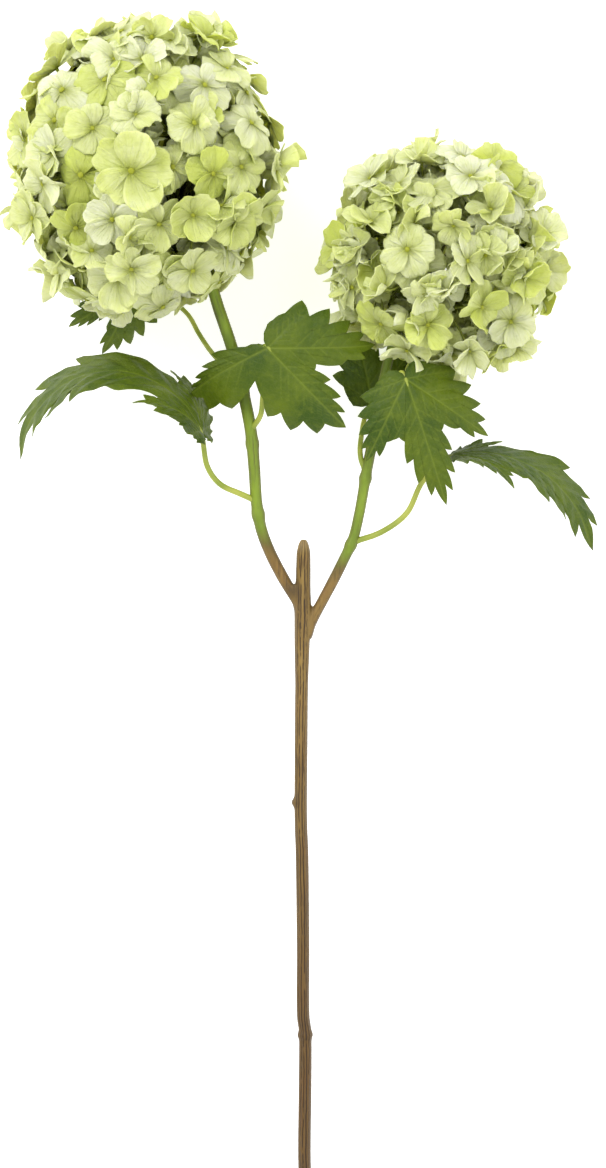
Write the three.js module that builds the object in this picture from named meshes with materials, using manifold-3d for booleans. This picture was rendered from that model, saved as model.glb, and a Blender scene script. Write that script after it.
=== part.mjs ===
// Cut snowball-viburnum spray (guelder rose, Viburnum opulus "Roseum"), lying on a flat surface.
// Millimetres. +Y runs from the cut end of the stem to the two flower heads, +X to the right
// seen from above, and +Z is up from the surface the spray lies on.
import * as THREE from "three";
import { mergeVertices } from "three/addons/utils/BufferGeometryUtils.js";
import Module from "manifold-3d";

const wasm = await Module();
wasm.setup();
const { Manifold } = wasm;

const vec = (x, y, z) => new THREE.Vector3(x, y, z);
const radians = THREE.MathUtils.degToRad;
const PIECE_GAP = 0.3; // clear space left where two pieces meet
const CRUMB = 0.02; // edges shorter than this are closed up after a join
const MERGE = 1e-4; // corners nearer than this are one corner

// ---------------------------------------------------------------- materials
function surface(color, roughness) {
  return new THREE.MeshStandardMaterial({ color, roughness, metalness: 0, side: THREE.DoubleSide });
}
const BARK = surface(0x94713f, 0.75);
const GREEN_BARK = surface(0x7d8c33, 0.6);
const PETIOLE_SKIN = surface(0x9da24a, 0.55);
const LEAF_FACE = surface(0x4b6a1c, 0.45);
const PETAL_CLOTH = surface(0xc9d592, 0.85);
const RAY_SKIN = surface(0x67701f, 0.7);

// ---------------------------------------------------------------- solids
function solidOf(geometry) {
  const bare = geometry.clone();
  bare.deleteAttribute("normal");
  bare.deleteAttribute("uv");
  const merged = mergeVertices(bare, MERGE);
  return new Manifold(
    new wasm.Mesh({
      numProp: 3,
      vertProperties: new Float32Array(merged.attributes.position.array),
      triVerts: new Uint32Array(merged.index.array),
    }),
  );
}

function geometryOf(solid) {
  const mesh = solid.getMesh();
  const geometry = new THREE.BufferGeometry();
  geometry.setAttribute("position", new THREE.BufferAttribute(new Float32Array(mesh.vertProperties), 3));
  geometry.setIndex(new THREE.BufferAttribute(new Uint32Array(mesh.triVerts), 1));
  geometry.computeVertexNormals();
  return geometry;
}

function named(name, solid, material) {
  const mesh = new THREE.Mesh(geometryOf(solid), material);
  mesh.name = name;
  return mesh;
}

const between = (random, low, high) => low + (high - low) * random();

// A cut can leave crumbs: this keeps the one body that matters.
function largest(solid) {
  const bodies = solid.decompose();
  bodies.sort((a, b) => b.volume() - a.volume());
  return bodies[0];
}

// Evenly spread random numbers from 0 to 1 that come out the same every time.
function mulberry(seed) {
  let state = seed;
  return () => {
    state = (state + 0x6d2b79f5) | 0;
    let t = Math.imul(state ^ (state >>> 15), 1 | state);
    t = (t + Math.imul(t ^ (t >>> 7), 61 | t)) ^ t;
    return ((t ^ (t >>> 14)) >>> 0) / 4294967296;
  };
}

// A closed cylinder bent onto a curve. radiusAt takes the share of the length from 0 to 1.
function tubeAlong(points, radiusAt, steps, sides) {
  const curve = new THREE.CatmullRomCurve3(points, false, "centripetal");
  const frames = curve.computeFrenetFrames(steps);
  const geometry = new THREE.CylinderGeometry(1, 1, 1, sides, steps);
  const position = geometry.attributes.position;
  for (let i = 0; i < position.count; i += 1) {
    const along = position.getY(i) + 0.5;
    const frame = Math.round(along * steps);
    const radius = radiusAt(along);
    const place = curve
      .getPointAt(along)
      .addScaledVector(frames.normals[frame], position.getZ(i) * radius)
      .addScaledVector(frames.binormals[frame], position.getX(i) * radius);
    position.setXYZ(i, place.x, place.y, place.z);
  }
  return solidOf(geometry);
}

// Radius that runs evenly between keys [share, radius], plus a soft swelling at each collar share.
function taper(keys, collars = []) {
  return (along) => {
    let next = keys.findIndex((key) => key[0] >= along);
    next = next < 1 ? 1 : next;
    const [from, to] = [keys[next - 1], keys[next]];
    const share = (along - from[0]) / (to[0] - from[0]);
    const swelling = collars.reduce(
      (sum, collar) => sum + collar.size * Math.exp(-(((along - collar.at) / collar.reach) ** 2)),
      0,
    );
    return THREE.MathUtils.lerp(from[1], to[1], THREE.MathUtils.clamp(share, 0, 1)) + swelling;
  };
}

function rod(from, to, fromRadius, toRadius, sides) {
  const length = from.distanceTo(to);
  const geometry = new THREE.CylinderGeometry(toRadius, fromRadius, length, sides);
  const turn = new THREE.Quaternion().setFromUnitVectors(vec(0, 1, 0), to.clone().sub(from).normalize());
  const middle = from.clone().add(to).multiplyScalar(0.5);
  geometry.applyMatrix4(new THREE.Matrix4().compose(middle, turn, vec(1, 1, 1)));
  return solidOf(geometry);
}

function ball(centre, radius, detail) {
  const geometry = new THREE.IcosahedronGeometry(radius, detail);
  geometry.translate(centre.x, centre.y, centre.z);
  return solidOf(geometry);
}

// ---------------------------------------------------------------- stem and branches
// The stem lies on its cut end and rises evenly to the fork, and each branch rises on from there.
const CUT_END_Y = -275;
const STEM_RADIUS = 2.35;
const FORK_Y = -17;
const FORK_HEIGHT = 30.214;
const LEFT_SLOPE = 0.108;
const RIGHT_SLOPE = 0.062;
const stemSlope = (FORK_HEIGHT - STEM_RADIUS) / (FORK_Y - CUT_END_Y);
const stemHeight = (y) => STEM_RADIUS + stemSlope * (y - CUT_END_Y);
const leftHeight = (y) => FORK_HEIGHT + LEFT_SLOPE * (y - FORK_Y);
const rightHeight = (y) => FORK_HEIGHT + RIGHT_SLOPE * (y - FORK_Y);
const routed = (route, heightAt) => route.map(([x, y]) => vec(x, y, heightAt(y)));

const STEM_ROUTE = [
  [1.6, CUT_END_Y],
  [1.3, -246],
  [0.5, -208],
  [0.7, -163],
  [0.1, -158],
  [0, -130],
  [-0.4, -98],
  [-0.8, -85],
  [-0.7, -55],
  [-0.4, -30],
  [-0.1, -9],
  [0.1, 6],
  [0.2, 16],
];
const LEFT_ROUTE = [
  [0.2, -10],
  [-2.4, -5.8],
  [-5.2, -1.2],
  [-8.4, 4.4],
  [-12, 11.6],
  [-15, 19.6],
  [-16.7, 29],
  [-17.6, 42],
  [-18.8, 55],
  [-21.3, 68],
  [-25.3, 84],
  [-30, 98],
  [-34.6, 112],
  [-45, 131],
];
const RIGHT_ROUTE = [
  [0.6, -19.5],
  [3.4, -12.9],
  [7.2, -5.7],
  [11, 1.4],
  [14.6, 8.6],
  [17.8, 15.6],
  [20.4, 26],
  [22.8, 40],
  [25.7, 55],
  [28.9, 73],
  [33.9, 90],
  [45, 108],
];

const stemPoints = routed(STEM_ROUTE, stemHeight);
const leftPoints = routed(LEFT_ROUTE, leftHeight);
const rightPoints = routed(RIGHT_ROUTE, rightHeight);

const stemRadius = taper(
  [
    [0, STEM_RADIUS],
    [0.6, 2.3],
    [0.82, 2.35],
    [0.87, 2.75],
    [0.915, 3.1],
    [0.945, 2.75],
    [0.984, 2.5],
    [0.995, 1.8],
    [1, 0.9],
  ],
  [
    { at: 0.1, size: 0.75, reach: 0.008 },
    { at: 0.38, size: 0.7, reach: 0.008 },
    { at: 0.673, size: 0.3, reach: 0.008 },
  ],
);
const leftRadius = taper(
  [
    [0, 2],
    [0.08, 2.1],
    [0.3, 2.1],
    [0.5, 2.2],
    [0.75, 2.15],
    [1, 1.8],
  ],
  [
    { at: 0.26, size: 0.4, reach: 0.012 },
    { at: 0.43, size: 0.35, reach: 0.012 },
    { at: 0.56, size: 0.3, reach: 0.012 },
  ],
);
const rightRadius = taper(
  [
    [0, 2.1],
    [0.12, 2],
    [0.3, 1.9],
    [0.6, 1.95],
    [1, 1.7],
  ],
  [
    { at: 0.275, size: 0.4, reach: 0.012 },
    { at: 0.455, size: 0.45, reach: 0.012 },
  ],
);

const STEM_STEPS = 46;
const STEM_SIDES = 8;
const BRANCH_STEPS = 30;
const BRANCH_SIDES = 7;
const stemSolid = tubeAlong(stemPoints, stemRadius, STEM_STEPS, STEM_SIDES);
const stemGrown = tubeAlong(stemPoints, (along) => stemRadius(along) + PIECE_GAP, STEM_STEPS, STEM_SIDES);

// ---------------------------------------------------------------- flower heads: where they sit
const HEADS = [
  {
    name: "left",
    centre: vec(-56, 148.5, 47.5),
    radius: 54,
    shape: vec(0.94, 1.03, 0.93),
    hub: vec(-45.4, 131.6, 46.4),
    clusters: 18,
    florets: 130,
    inner: 34,
    smallest: 19,
    largest: 24,
    seed: 11,
  },
  {
    name: "right",
    centre: vec(49.6, 117, 39.5),
    radius: 44,
    shape: vec(0.98, 0.98, 0.94),
    hub: vec(45.6, 108.6, 38.2),
    clusters: 14,
    florets: 84,
    inner: 22,
    smallest: 16,
    largest: 19.8,
    seed: 29,
  },
];
const HUB_RADIUS = 2.5;

function branchSolid(points, radiusAt, head) {
  const grown = tubeAlong(points, (along) => radiusAt(along) + PIECE_GAP, BRANCH_STEPS, BRANCH_SIDES);
  const hubRoom = ball(head.hub, HUB_RADIUS + PIECE_GAP, 0);
  const whole = tubeAlong(points, radiusAt, BRANCH_STEPS, BRANCH_SIDES);
  return { solid: largest(whole.subtract(stemGrown).subtract(hubRoom)), grown };
}
const left = branchSolid(leftPoints, leftRadius, HEADS[0]);
const rightWhole = branchSolid(rightPoints, rightRadius, HEADS[1]);
const right = { solid: largest(rightWhole.solid.subtract(left.grown)), grown: rightWhole.grown };

// ---------------------------------------------------------------- leaves
// Each lobe edge as [degrees from the lobe's own line, reach as a share of the lobe's length].
const LOBE_EDGE = [
  [3, 0.84],
  [6, 0.9],
  [7.6, 0.73],
  [12, 0.79],
  [13.6, 0.6],
  [18.6, 0.64],
  [20.5, 0.47],
];
const INNER_EDGE = [
  [4, 0.83],
  [8, 0.88],
  [10, 0.7],
  [15.5, 0.66],
];
const OUTER_EDGE = [
  [4, 0.83],
  [9, 0.9],
  [11, 0.71],
  [19, 0.79],
  [22, 0.58],
  [34, 0.66],
  [38, 0.46],
  [56, 0.52],
  [65, 0.34],
];
const HEEL = [
  [138, 0.2],
  [160, 0.09],
];
const OUTER_FAN = 65; // degrees that OUTER_EDGE spans
const INNER_FAN = 21; // degrees from a side lobe's line to its gap, in INNER_EDGE
const MIDDLE_FAN = 27; // degrees from the midrib to the gap, in LOBE_EDGE
const NOTCH = 0.016; // reach of the notch at the petiole, as a share of the leaf's length

// The outline of a leaf as [angle, reach in millimetres], anticlockwise from the notch at the petiole.
// A side lobe has the gap beside it at sinusAngle, which reaches web of the leaf's length, and its
// outer edge fans back to the leaf's flare angle.
function leafOutline(leaf) {
  const side = (lobe, hand) => {
    const edge = [...HEEL].reverse().map(([angle, reach]) => [angle, reach * lobe.length]);
    const fan = Math.min(1, (leaf.flare - lobe.angle) / OUTER_FAN);
    [...OUTER_EDGE].reverse().forEach(([off, reach]) => {
      edge.push([lobe.angle + off * fan, reach * lobe.length]);
    });
    edge.push([lobe.angle, lobe.length]);
    const squeeze = (lobe.angle - lobe.sinusAngle) / INNER_FAN;
    INNER_EDGE.forEach(([off, reach]) => edge.push([lobe.angle - off * squeeze, reach * lobe.length]));
    edge.push([lobe.sinusAngle, lobe.web * leaf.length]);
    const pinch = lobe.sinusAngle / MIDDLE_FAN;
    [...LOBE_EDGE].reverse().forEach(([off, reach]) => edge.push([off * pinch, reach * leaf.length]));
    return edge.map(([angle, reach]) => [angle * hand, reach]);
  };
  const right = side(leaf.right, -1);
  const left = side(leaf.left, 1).reverse();
  return [[-180, NOTCH * leaf.length], ...right, [0, leaf.length], ...left];
}

const HALF_WIDTH = 0.6; // the width that roll spans, as a share of the leaf's length
const CREASE = 1.5; // how far the crease at the midrib is rounded
// Bends a flat leaf point (u along the midrib, v to the left of it) and lifts it off the blade.
// turn arches the midrib, twist turns the blade about it, roll curls the sides down, fold creases
// the blade along the midrib, and wave ripples its edge. turn, twist and roll are degrees.
function bendLeaf(leaf, u, v, lift) {
  const wide = leaf.length * HALF_WIDTH;
  const twist = radians(leaf.twist) * (u / leaf.length);
  const roll = radians(leaf.roll) * ((v * Math.cos(twist)) / wide);
  const turn = radians(leaf.turn) * (u / leaf.length);
  const reach = Math.hypot(u, v) / leaf.length;
  const wave = leaf.wave * reach * reach * Math.sin(leaf.waves * Math.atan2(v, u) + leaf.phase);
  const fold = leaf.fold * (Math.hypot(v, CREASE) - CREASE);
  const rollRadius = wide / radians(leaf.roll);
  const turnRadius = leaf.length / radians(leaf.turn);
  const across = rollRadius * Math.sin(roll);
  const height = fold + wave + v * Math.sin(twist) + lift - rollRadius * (1 - Math.cos(roll));
  return vec(
    turnRadius * Math.sin(turn) + height * Math.sin(turn),
    across,
    height * Math.cos(turn) - turnRadius * (1 - Math.cos(turn)),
  );
}

const BLADE_HALF = 0.35; // half the blade's greatest thickness
function leafSolid(leaf) {
  const outline = leafOutline(leaf);
  const geometry = new THREE.SphereGeometry(1, outline.length, 2 * leaf.rings);
  const position = geometry.attributes.position;
  const perRing = outline.length + 1;
  for (let i = 0; i < position.count; i += 1) {
    const ring = Math.floor(i / perRing);
    const [angle, reach] = outline[(i % perRing) % outline.length];
    const share = 1 - Math.abs(ring - leaf.rings) / leaf.rings;
    const facing = Math.sign(leaf.rings - ring);
    const lift = facing * BLADE_HALF * Math.sqrt(1 - share * share);
    const u = share * reach * Math.cos(radians(angle));
    const v = share * reach * Math.sin(radians(angle));
    const place = bendLeaf(leaf, u, v, lift);
    position.setXYZ(i, place.x, place.y, place.z);
  }
  // The lower side's faces are split along the same diagonals as the upper side's, so that the two
  // never cross. Each of these rows holds quads [a, b, d, b, c, d] between the rim and the last row.
  const corners = geometry.index.array;
  const perRow = 6 * outline.length;
  const firstLow = perRow / 2 + (leaf.rings - 1) * perRow;
  for (let i = firstLow; i < corners.length - perRow / 2; i += 6) {
    const [a, b, d, , c] = corners.slice(i, i + 6);
    corners.set([a, b, c, a, c, d], i);
  }
  return solidOf(geometry);
}

// at: the vein junction; heading: the midrib's line there; face: the upper side's facing.
function leafMatrix(leaf) {
  const along = leaf.heading.clone().normalize();
  const across = leaf.face.clone().cross(along).normalize();
  const up = along.clone().cross(across);
  return new THREE.Matrix4().makeBasis(along, across, up).setPosition(leaf.at);
}

const LEAVES = [
  {
    name: "left_arching",
    at: vec(-36.2, 54.6, 44),
    heading: vec(-0.4, 0.91, 0.02),
    face: vec(0.84, 0.42, 0.3),
    length: 93,
    left: { angle: 38, length: 32, sinusAngle: 23, web: 0.36 },
    right: { angle: 38, length: 34, sinusAngle: 23, web: 0.36 },
    flare: 84,
    rings: 3,
    turn: 152,
    twist: -46,
    roll: 26,
    fold: 0.03,
    wave: 3.4,
    waves: 3,
    phase: 0.9,
  },
  {
    name: "left_low",
    at: vec(-59, 109, 20),
    heading: vec(-0.87, -0.5, -0.1),
    face: vec(-0.1, -0.1, 1),
    length: 32,
    left: { angle: 30, length: 31, sinusAngle: 16, web: 0.4 },
    right: { angle: 50, length: 24, sinusAngle: 28, web: 0.4 },
    flare: 90,
    rings: 2,
    turn: 24,
    twist: 0,
    roll: 40,
    fold: 0.08,
    wave: 1.2,
    waves: 3,
    phase: 1.1,
  },
  {
    name: "middle",
    at: vec(-12.6, 84, 55),
    heading: vec(0.68, -0.72, 0.1),
    face: vec(0.05, -0.22, 1),
    length: 40,
    left: { angle: 46, length: 42, sinusAngle: 27, web: 0.46 },
    right: { angle: 108, length: 42, sinusAngle: 66, web: 0.32 },
    flare: 132,
    rings: 2,
    turn: 30,
    twist: 0,
    roll: 34,
    fold: 0.02,
    wave: 2.4,
    waves: 4,
    phase: 2.2,
  },
  {
    name: "hanging",
    at: vec(36.6, 73, 53),
    heading: vec(0.32, -0.94, 0.16),
    face: vec(0, 0.12, 1),
    length: 48,
    left: { angle: 38, length: 38, sinusAngle: 22, web: 0.44 },
    right: { angle: 44, length: 34, sinusAngle: 25, web: 0.44 },
    flare: 98,
    rings: 2,
    turn: 34,
    twist: 0,
    roll: 40,
    fold: -0.04,
    wave: 1.8,
    waves: 3,
    phase: 0.2,
  },
  {
    name: "right_low",
    at: vec(25, 66, 24),
    heading: vec(0.6, 0.8, -0.1),
    face: vec(0.05, 0.15, 1),
    length: 36,
    left: { angle: 48, length: 35, sinusAngle: 27, web: 0.5 },
    right: { angle: 30, length: 41, sinusAngle: 17, web: 0.5 },
    flare: 98,
    rings: 2,
    turn: 18,
    twist: 0,
    roll: 30,
    fold: 0.06,
    wave: 1.4,
    waves: 3,
    phase: 2.9,
  },
  {
    name: "right_arching",
    at: vec(52.6, 46.2, 33),
    heading: vec(0.96, 0.24, 0.02),
    face: vec(-0.24, 0.95, 0.2),
    length: 70,
    left: { angle: 34, length: 24, sinusAngle: 22, web: 0.34 },
    right: { angle: 36, length: 32, sinusAngle: 22, web: 0.36 },
    flare: 78,
    rings: 3,
    turn: 98,
    twist: 44,
    roll: 26,
    fold: 0.03,
    wave: 3,
    waves: 3,
    phase: 0.4,
  },
];
LEAVES.forEach((leaf) => {
  leaf.solid = leafSolid(leaf);
  leaf.matrix = leafMatrix(leaf);
  leaf.placed = leaf.solid.transform(leaf.matrix.elements);
});

// ---------------------------------------------------------------- petioles
// Each runs from a branch to just short of its leaf's vein junction.
const PETIOLES = [
  {
    name: "left_arching",
    route: [
      vec(-16.8, 30, 35.2),
      vec(-22.4, 32.4, 37),
      vec(-29.8, 35.9, 39.6),
      vec(-34.4, 42.4, 42),
    ],
    from: left,
    thick: 1.05,
  },
  {
    name: "left_low",
    route: [
      vec(-22.4, 73, 40),
      vec(-27.5, 77.5, 38.4),
      vec(-33, 83.6, 35),
      vec(-37.6, 90.4, 30),
      vec(-41.6, 97.5, 25.6),
      vec(-49.5, 104.4, 22.4),
    ],
    from: left,
    thick: 0.9,
  },
  {
    name: "middle",
    route: [
      vec(-18.7, 55.4, 38),
      vec(-15.2, 60.6, 43),
      vec(-14.4, 67, 48),
      vec(-13.6, 76, 52.4),
    ],
    from: left,
    thick: 0.95,
  },
  {
    name: "hanging",
    route: [
      vec(27.6, 66, 37.4),
      vec(30.4, 68.6, 42),
      vec(33.4, 71.6, 47.5),
      vec(35, 75.5, 51),
    ],
    from: right,
    thick: 0.95,
  },
  {
    name: "right_low",
    route: [
      vec(22.6, 40.4, 33.8),
      vec(20.7, 46, 33.8),
      vec(21.2, 54.4, 31),
      vec(22.6, 61, 27),
    ],
    from: right,
    thick: 0.95,
  },
  {
    name: "right_arching",
    route: [
      vec(17.5, 15, 32.1),
      vec(28.4, 18.8, 31.6),
      vec(37.4, 25.6, 31),
      vec(43.2, 37, 31.4),
    ],
    from: right,
    thick: 1.05,
  },
];
const PETIOLE_END_GAP = 1.5;
PETIOLES.forEach((petiole, index) => {
  const leaf = LEAVES[index];
  const along = leaf.heading.clone().normalize();
  const tip = leaf.at.clone().addScaledVector(along, -PETIOLE_END_GAP - NOTCH * leaf.length);
  const route = [...petiole.route, tip];
  const radiusAt = taper([
    [0, petiole.thick * 1.35],
    [0.08, petiole.thick],
    [0.8, petiole.thick * 0.92],
    [1, petiole.thick * 0.6],
  ]);
  petiole.solid = largest(tubeAlong(route, radiusAt, 10, 5).subtract(petiole.from.grown));
  const room = tubeAlong(route, (share) => radiusAt(share) + PIECE_GAP, 10, 5);
  const toLeaf = leaf.matrix.clone().invert();
  leaf.solid = largest(leaf.solid.subtract(room.transform(toLeaf.elements)));
});

// ---------------------------------------------------------------- florets
// Floret places on a head: sideways and upward offsets from its centre as seen from above,
// the floret's width, and its turn about its own stalk.
const SHOWN = {
  left: [
    { x: -4.6, y: -5.4, across: 27, spin: 8, lean: 0.1 },
    { x: -1.8, y: 16.1, across: 18.5, spin: 30 },
    { x: 20, y: 14.3, across: 19.5, spin: 50 },
    { x: -25.7, y: -6.4, across: 24, spin: 20 },
    { x: -28.2, y: -26.8, across: 20, spin: 0 },
    { x: -42.5, y: -19.3, across: 20, spin: 15 },
    { x: -36.8, y: 10, across: 22, spin: 40 },
    { x: -12.1, y: -23.6, across: 20, spin: 5 },
    { x: -10, y: -43, across: 22, spin: 36, face: 0.9 },
    { x: 5.7, y: -48, across: 21, spin: 10, face: 0.7 },
    { x: 6.5, y: -25.3, across: 19, spin: 44 },
    { x: 28.6, y: -5, across: 20, spin: 24 },
    { x: 20, y: -19, across: 20, spin: 60 },
    { x: 41, y: 14.6, across: 20, spin: 12 },
    { x: 41, y: -2.5, across: 20, spin: 33 },
    { x: -8.6, y: 46.8, across: 22, spin: 3 },
    { x: -15.4, y: 31, across: 22, spin: 18 },
    { x: 9.6, y: 44, across: 20, spin: 55 },
    { x: -21.5, y: 12, across: 19, spin: 27 },
    { x: 6, y: 29.5, across: 20, spin: 9 },
    { x: 24.5, y: 29, across: 21, spin: 48 },
    { x: 34.3, y: -31, across: 21, spin: 70, face: 0.6 },
    { x: 17, y: -38, across: 20, spin: 22, face: 0.5 },
  ],
  right: [
    { x: -4.6, y: 25.5, across: 18.5, spin: 14 },
    { x: -26.8, y: 11.4, across: 18.5, spin: 40 },
    { x: -14.4, y: 1.4, across: 19.6, spin: 4, lean: 0.1 },
    { x: 3.9, y: 10.6, across: 15, spin: 30 },
    { x: 18.6, y: 17, across: 18, spin: 50 },
    { x: 9, y: -4.6, across: 17, spin: 12 },
    { x: 24, y: 0, across: 18, spin: 26 },
    { x: -22.4, y: -14.2, across: 18, spin: 8 },
    { x: -8.6, y: -15.6, across: 16, spin: 60 },
    { x: -6.6, y: -28.5, across: 18, spin: 35 },
    { x: 14, y: -20.6, across: 18, spin: 18 },
    { x: 10.6, y: -34.6, across: 17, spin: 44 },
    { x: 26.6, y: -26, across: 18, spin: 2 },
    { x: 36, y: -9.6, across: 18, spin: 57 },
    { x: 38.5, y: 7.1, across: 18, spin: 31 },
    { x: 33.6, y: 21, across: 18, spin: 21 },
    { x: 8.6, y: 36, across: 19, spin: 10 },
    { x: -8, y: 37.6, across: 18, spin: 42 },
    { x: -27, y: 27.4, across: 20, spin: 6 },
    { x: -39, y: 3.4, across: 18, spin: 52 },
    { x: -36.5, y: -12.4, across: 17, spin: 28 },
  ],
};

const PETALS = 5;
const PETAL_HALF = 27; // degrees from a petal's middle to its shoulder
const NOTCH_REACH = 0.5;
const HUB_DEPTH = 1;
const STALK_RADIUS = 0.36;
const SHELL = 0.93; // the outer florets sit at this share of the head's radius
const INNER_SHELL = 0.74; // a few more fill in below them

// A floret with its stalk as one closed body: a hub, a rim of five petals with a notch and two
// shoulders each, a three-sided neck under the hub and a three-sided foot in the knot it grows from.
function floretGeometry(floret, foot, random) {
  const radius = floret.across / 2;
  const turn = new THREE.Quaternion().setFromUnitVectors(vec(0, 0, 1), floret.axis);
  turn.multiply(new THREE.Quaternion().setFromAxisAngle(vec(0, 0, 1), floret.spin));
  const place = (x, y, z) => vec(x, y, z).applyQuaternion(turn).add(floret.centre);
  const rim = [];
  for (let petal = 0; petal < PETALS; petal += 1) {
    const middle = (360 / PETALS) * petal;
    const droop = between(random, -0.14, 0.14);
    const twist = between(random, -0.12, 0.12);
    const corners = [
      [middle - 180 / PETALS, NOTCH_REACH, 0.4 * floret.cup],
      [middle - PETAL_HALF, 1, floret.cup + droop - twist],
      [middle + PETAL_HALF, 1, floret.cup + droop + twist],
    ];
    corners.forEach(([angle, reach, rise]) => {
      const r = reach * radius;
      rim.push(place(r * Math.cos(radians(angle)), r * Math.sin(radians(angle)), rise * r));
    });
  }
  const ring = (radiusHere, middle, facing) => {
    const level = new THREE.Quaternion().setFromUnitVectors(vec(0, 0, 1), facing);
    return [0, 120, 240].map((angle) =>
      vec(radiusHere * Math.cos(radians(angle)), radiusHere * Math.sin(radians(angle)), 0)
        .applyQuaternion(level)
        .add(middle),
    );
  };
  const neckAt = place(0, 0, -HUB_DEPTH);
  const neck = [0, 120, 240].map((angle) => {
    const [x, y] = [Math.cos(radians(angle)), Math.sin(radians(angle))];
    return place(STALK_RADIUS * x, STALK_RADIUS * y, -HUB_DEPTH);
  });
  const footRing = ring(STALK_RADIUS * 1.1, foot, neckAt.clone().sub(foot).normalize());
  // The foot corner nearest in angle to each neck corner keeps the stalk from twisting.
  const shift = [0, 1, 2].reduce((best, s) => {
    const span = (k) => neck.reduce((sum, corner, i) => sum + corner.distanceTo(footRing[(i + k) % 3]), 0);
    return span(s) < span(best) ? s : best;
  }, 0);
  const points = [floret.centre, ...rim, ...neck, ...footRing];
  const RIM = 1;
  const NECK = RIM + rim.length;
  const FOOT = NECK + neck.length;
  const faces = [];
  const third = rim.length / 3;
  for (let i = 0; i < rim.length; i += 1) {
    const next = (i + 1) % rim.length;
    const corner = Math.round(i / third) % 3;
    const nextCorner = Math.round(next / third) % 3;
    faces.push(0, RIM + i, RIM + next);
    faces.push(NECK + corner, RIM + next, RIM + i);
    if (corner !== nextCorner) faces.push(NECK + corner, NECK + nextCorner, RIM + next);
  }
  for (let i = 0; i < 3; i += 1) {
    const next = (i + 1) % 3;
    const low = FOOT + ((i + shift) % 3);
    const lowNext = FOOT + ((next + shift) % 3);
    faces.push(NECK + i, low, lowNext, NECK + i, lowNext, NECK + next);
  }
  faces.push(FOOT, FOOT + 2, FOOT + 1);
  const geometry = new THREE.BufferGeometry().setFromPoints(points);
  geometry.setIndex(faces);
  return geometry;
}

function lowest(geometry) {
  geometry.computeBoundingBox();
  return geometry.boundingBox.min.z;
}

function tooClose(solid, box, others, gap) {
  return others.some((other) => box.intersectsBox(other.box) && solid.minGap(other.solid, gap) < gap);
}

function boxed(solid) {
  const { min, max } = solid.boundingBox();
  return { solid, box: new THREE.Box3(vec(...min), vec(...max)).expandByScalar(PIECE_GAP) };
}

const obstacles = [
  boxed(stemSolid),
  boxed(left.grown),
  boxed(right.grown),
  ...LEAVES.map((leaf) => boxed(leaf.placed)),
  ...PETIOLES.map((petiole) => boxed(petiole.solid)),
];

// Directions spread evenly over a ball, one after another from pole to pole.
function spread(count, turn) {
  const golden = Math.PI * (3 - Math.sqrt(5));
  return Array.from({ length: count }, (_, i) => {
    const z = 1 - (2 * i + 1) / count;
    const flat = Math.sqrt(1 - z * z);
    const angle = golden * i + turn;
    return vec(flat * Math.cos(angle), flat * Math.sin(angle), z);
  });
}

const RAY_REACH = 0.46; // a ray ends at this share of the head's radius
const KNOT_RADIUS = 2.4;
const FOOT_REACH = 1; // stalks start this far from their knot's middle
const MATE_GAP = 0.1; // clear space between two florets of one knot
const RAY_RADIUS = 0.75;
const TRIES = 90;
const REST_HEIGHT = 0.05; // florets pressed against the surface stay this far above it
const MOST_LIFT = 8; // a floret that would have to rise further than this is left out
const STEM_CLEARANCE = 38; // degrees around the stem that no ray points into
const SHOWN_ROOM = 0.24; // radians around a placed floret that the even filling leaves out

function knotBall(at, room = 0) {
  const geometry = new THREE.OctahedronGeometry(KNOT_RADIUS + room * Math.sqrt(3), 0);
  geometry.translate(at.x, at.y, at.z);
  return solidOf(geometry);
}

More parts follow.
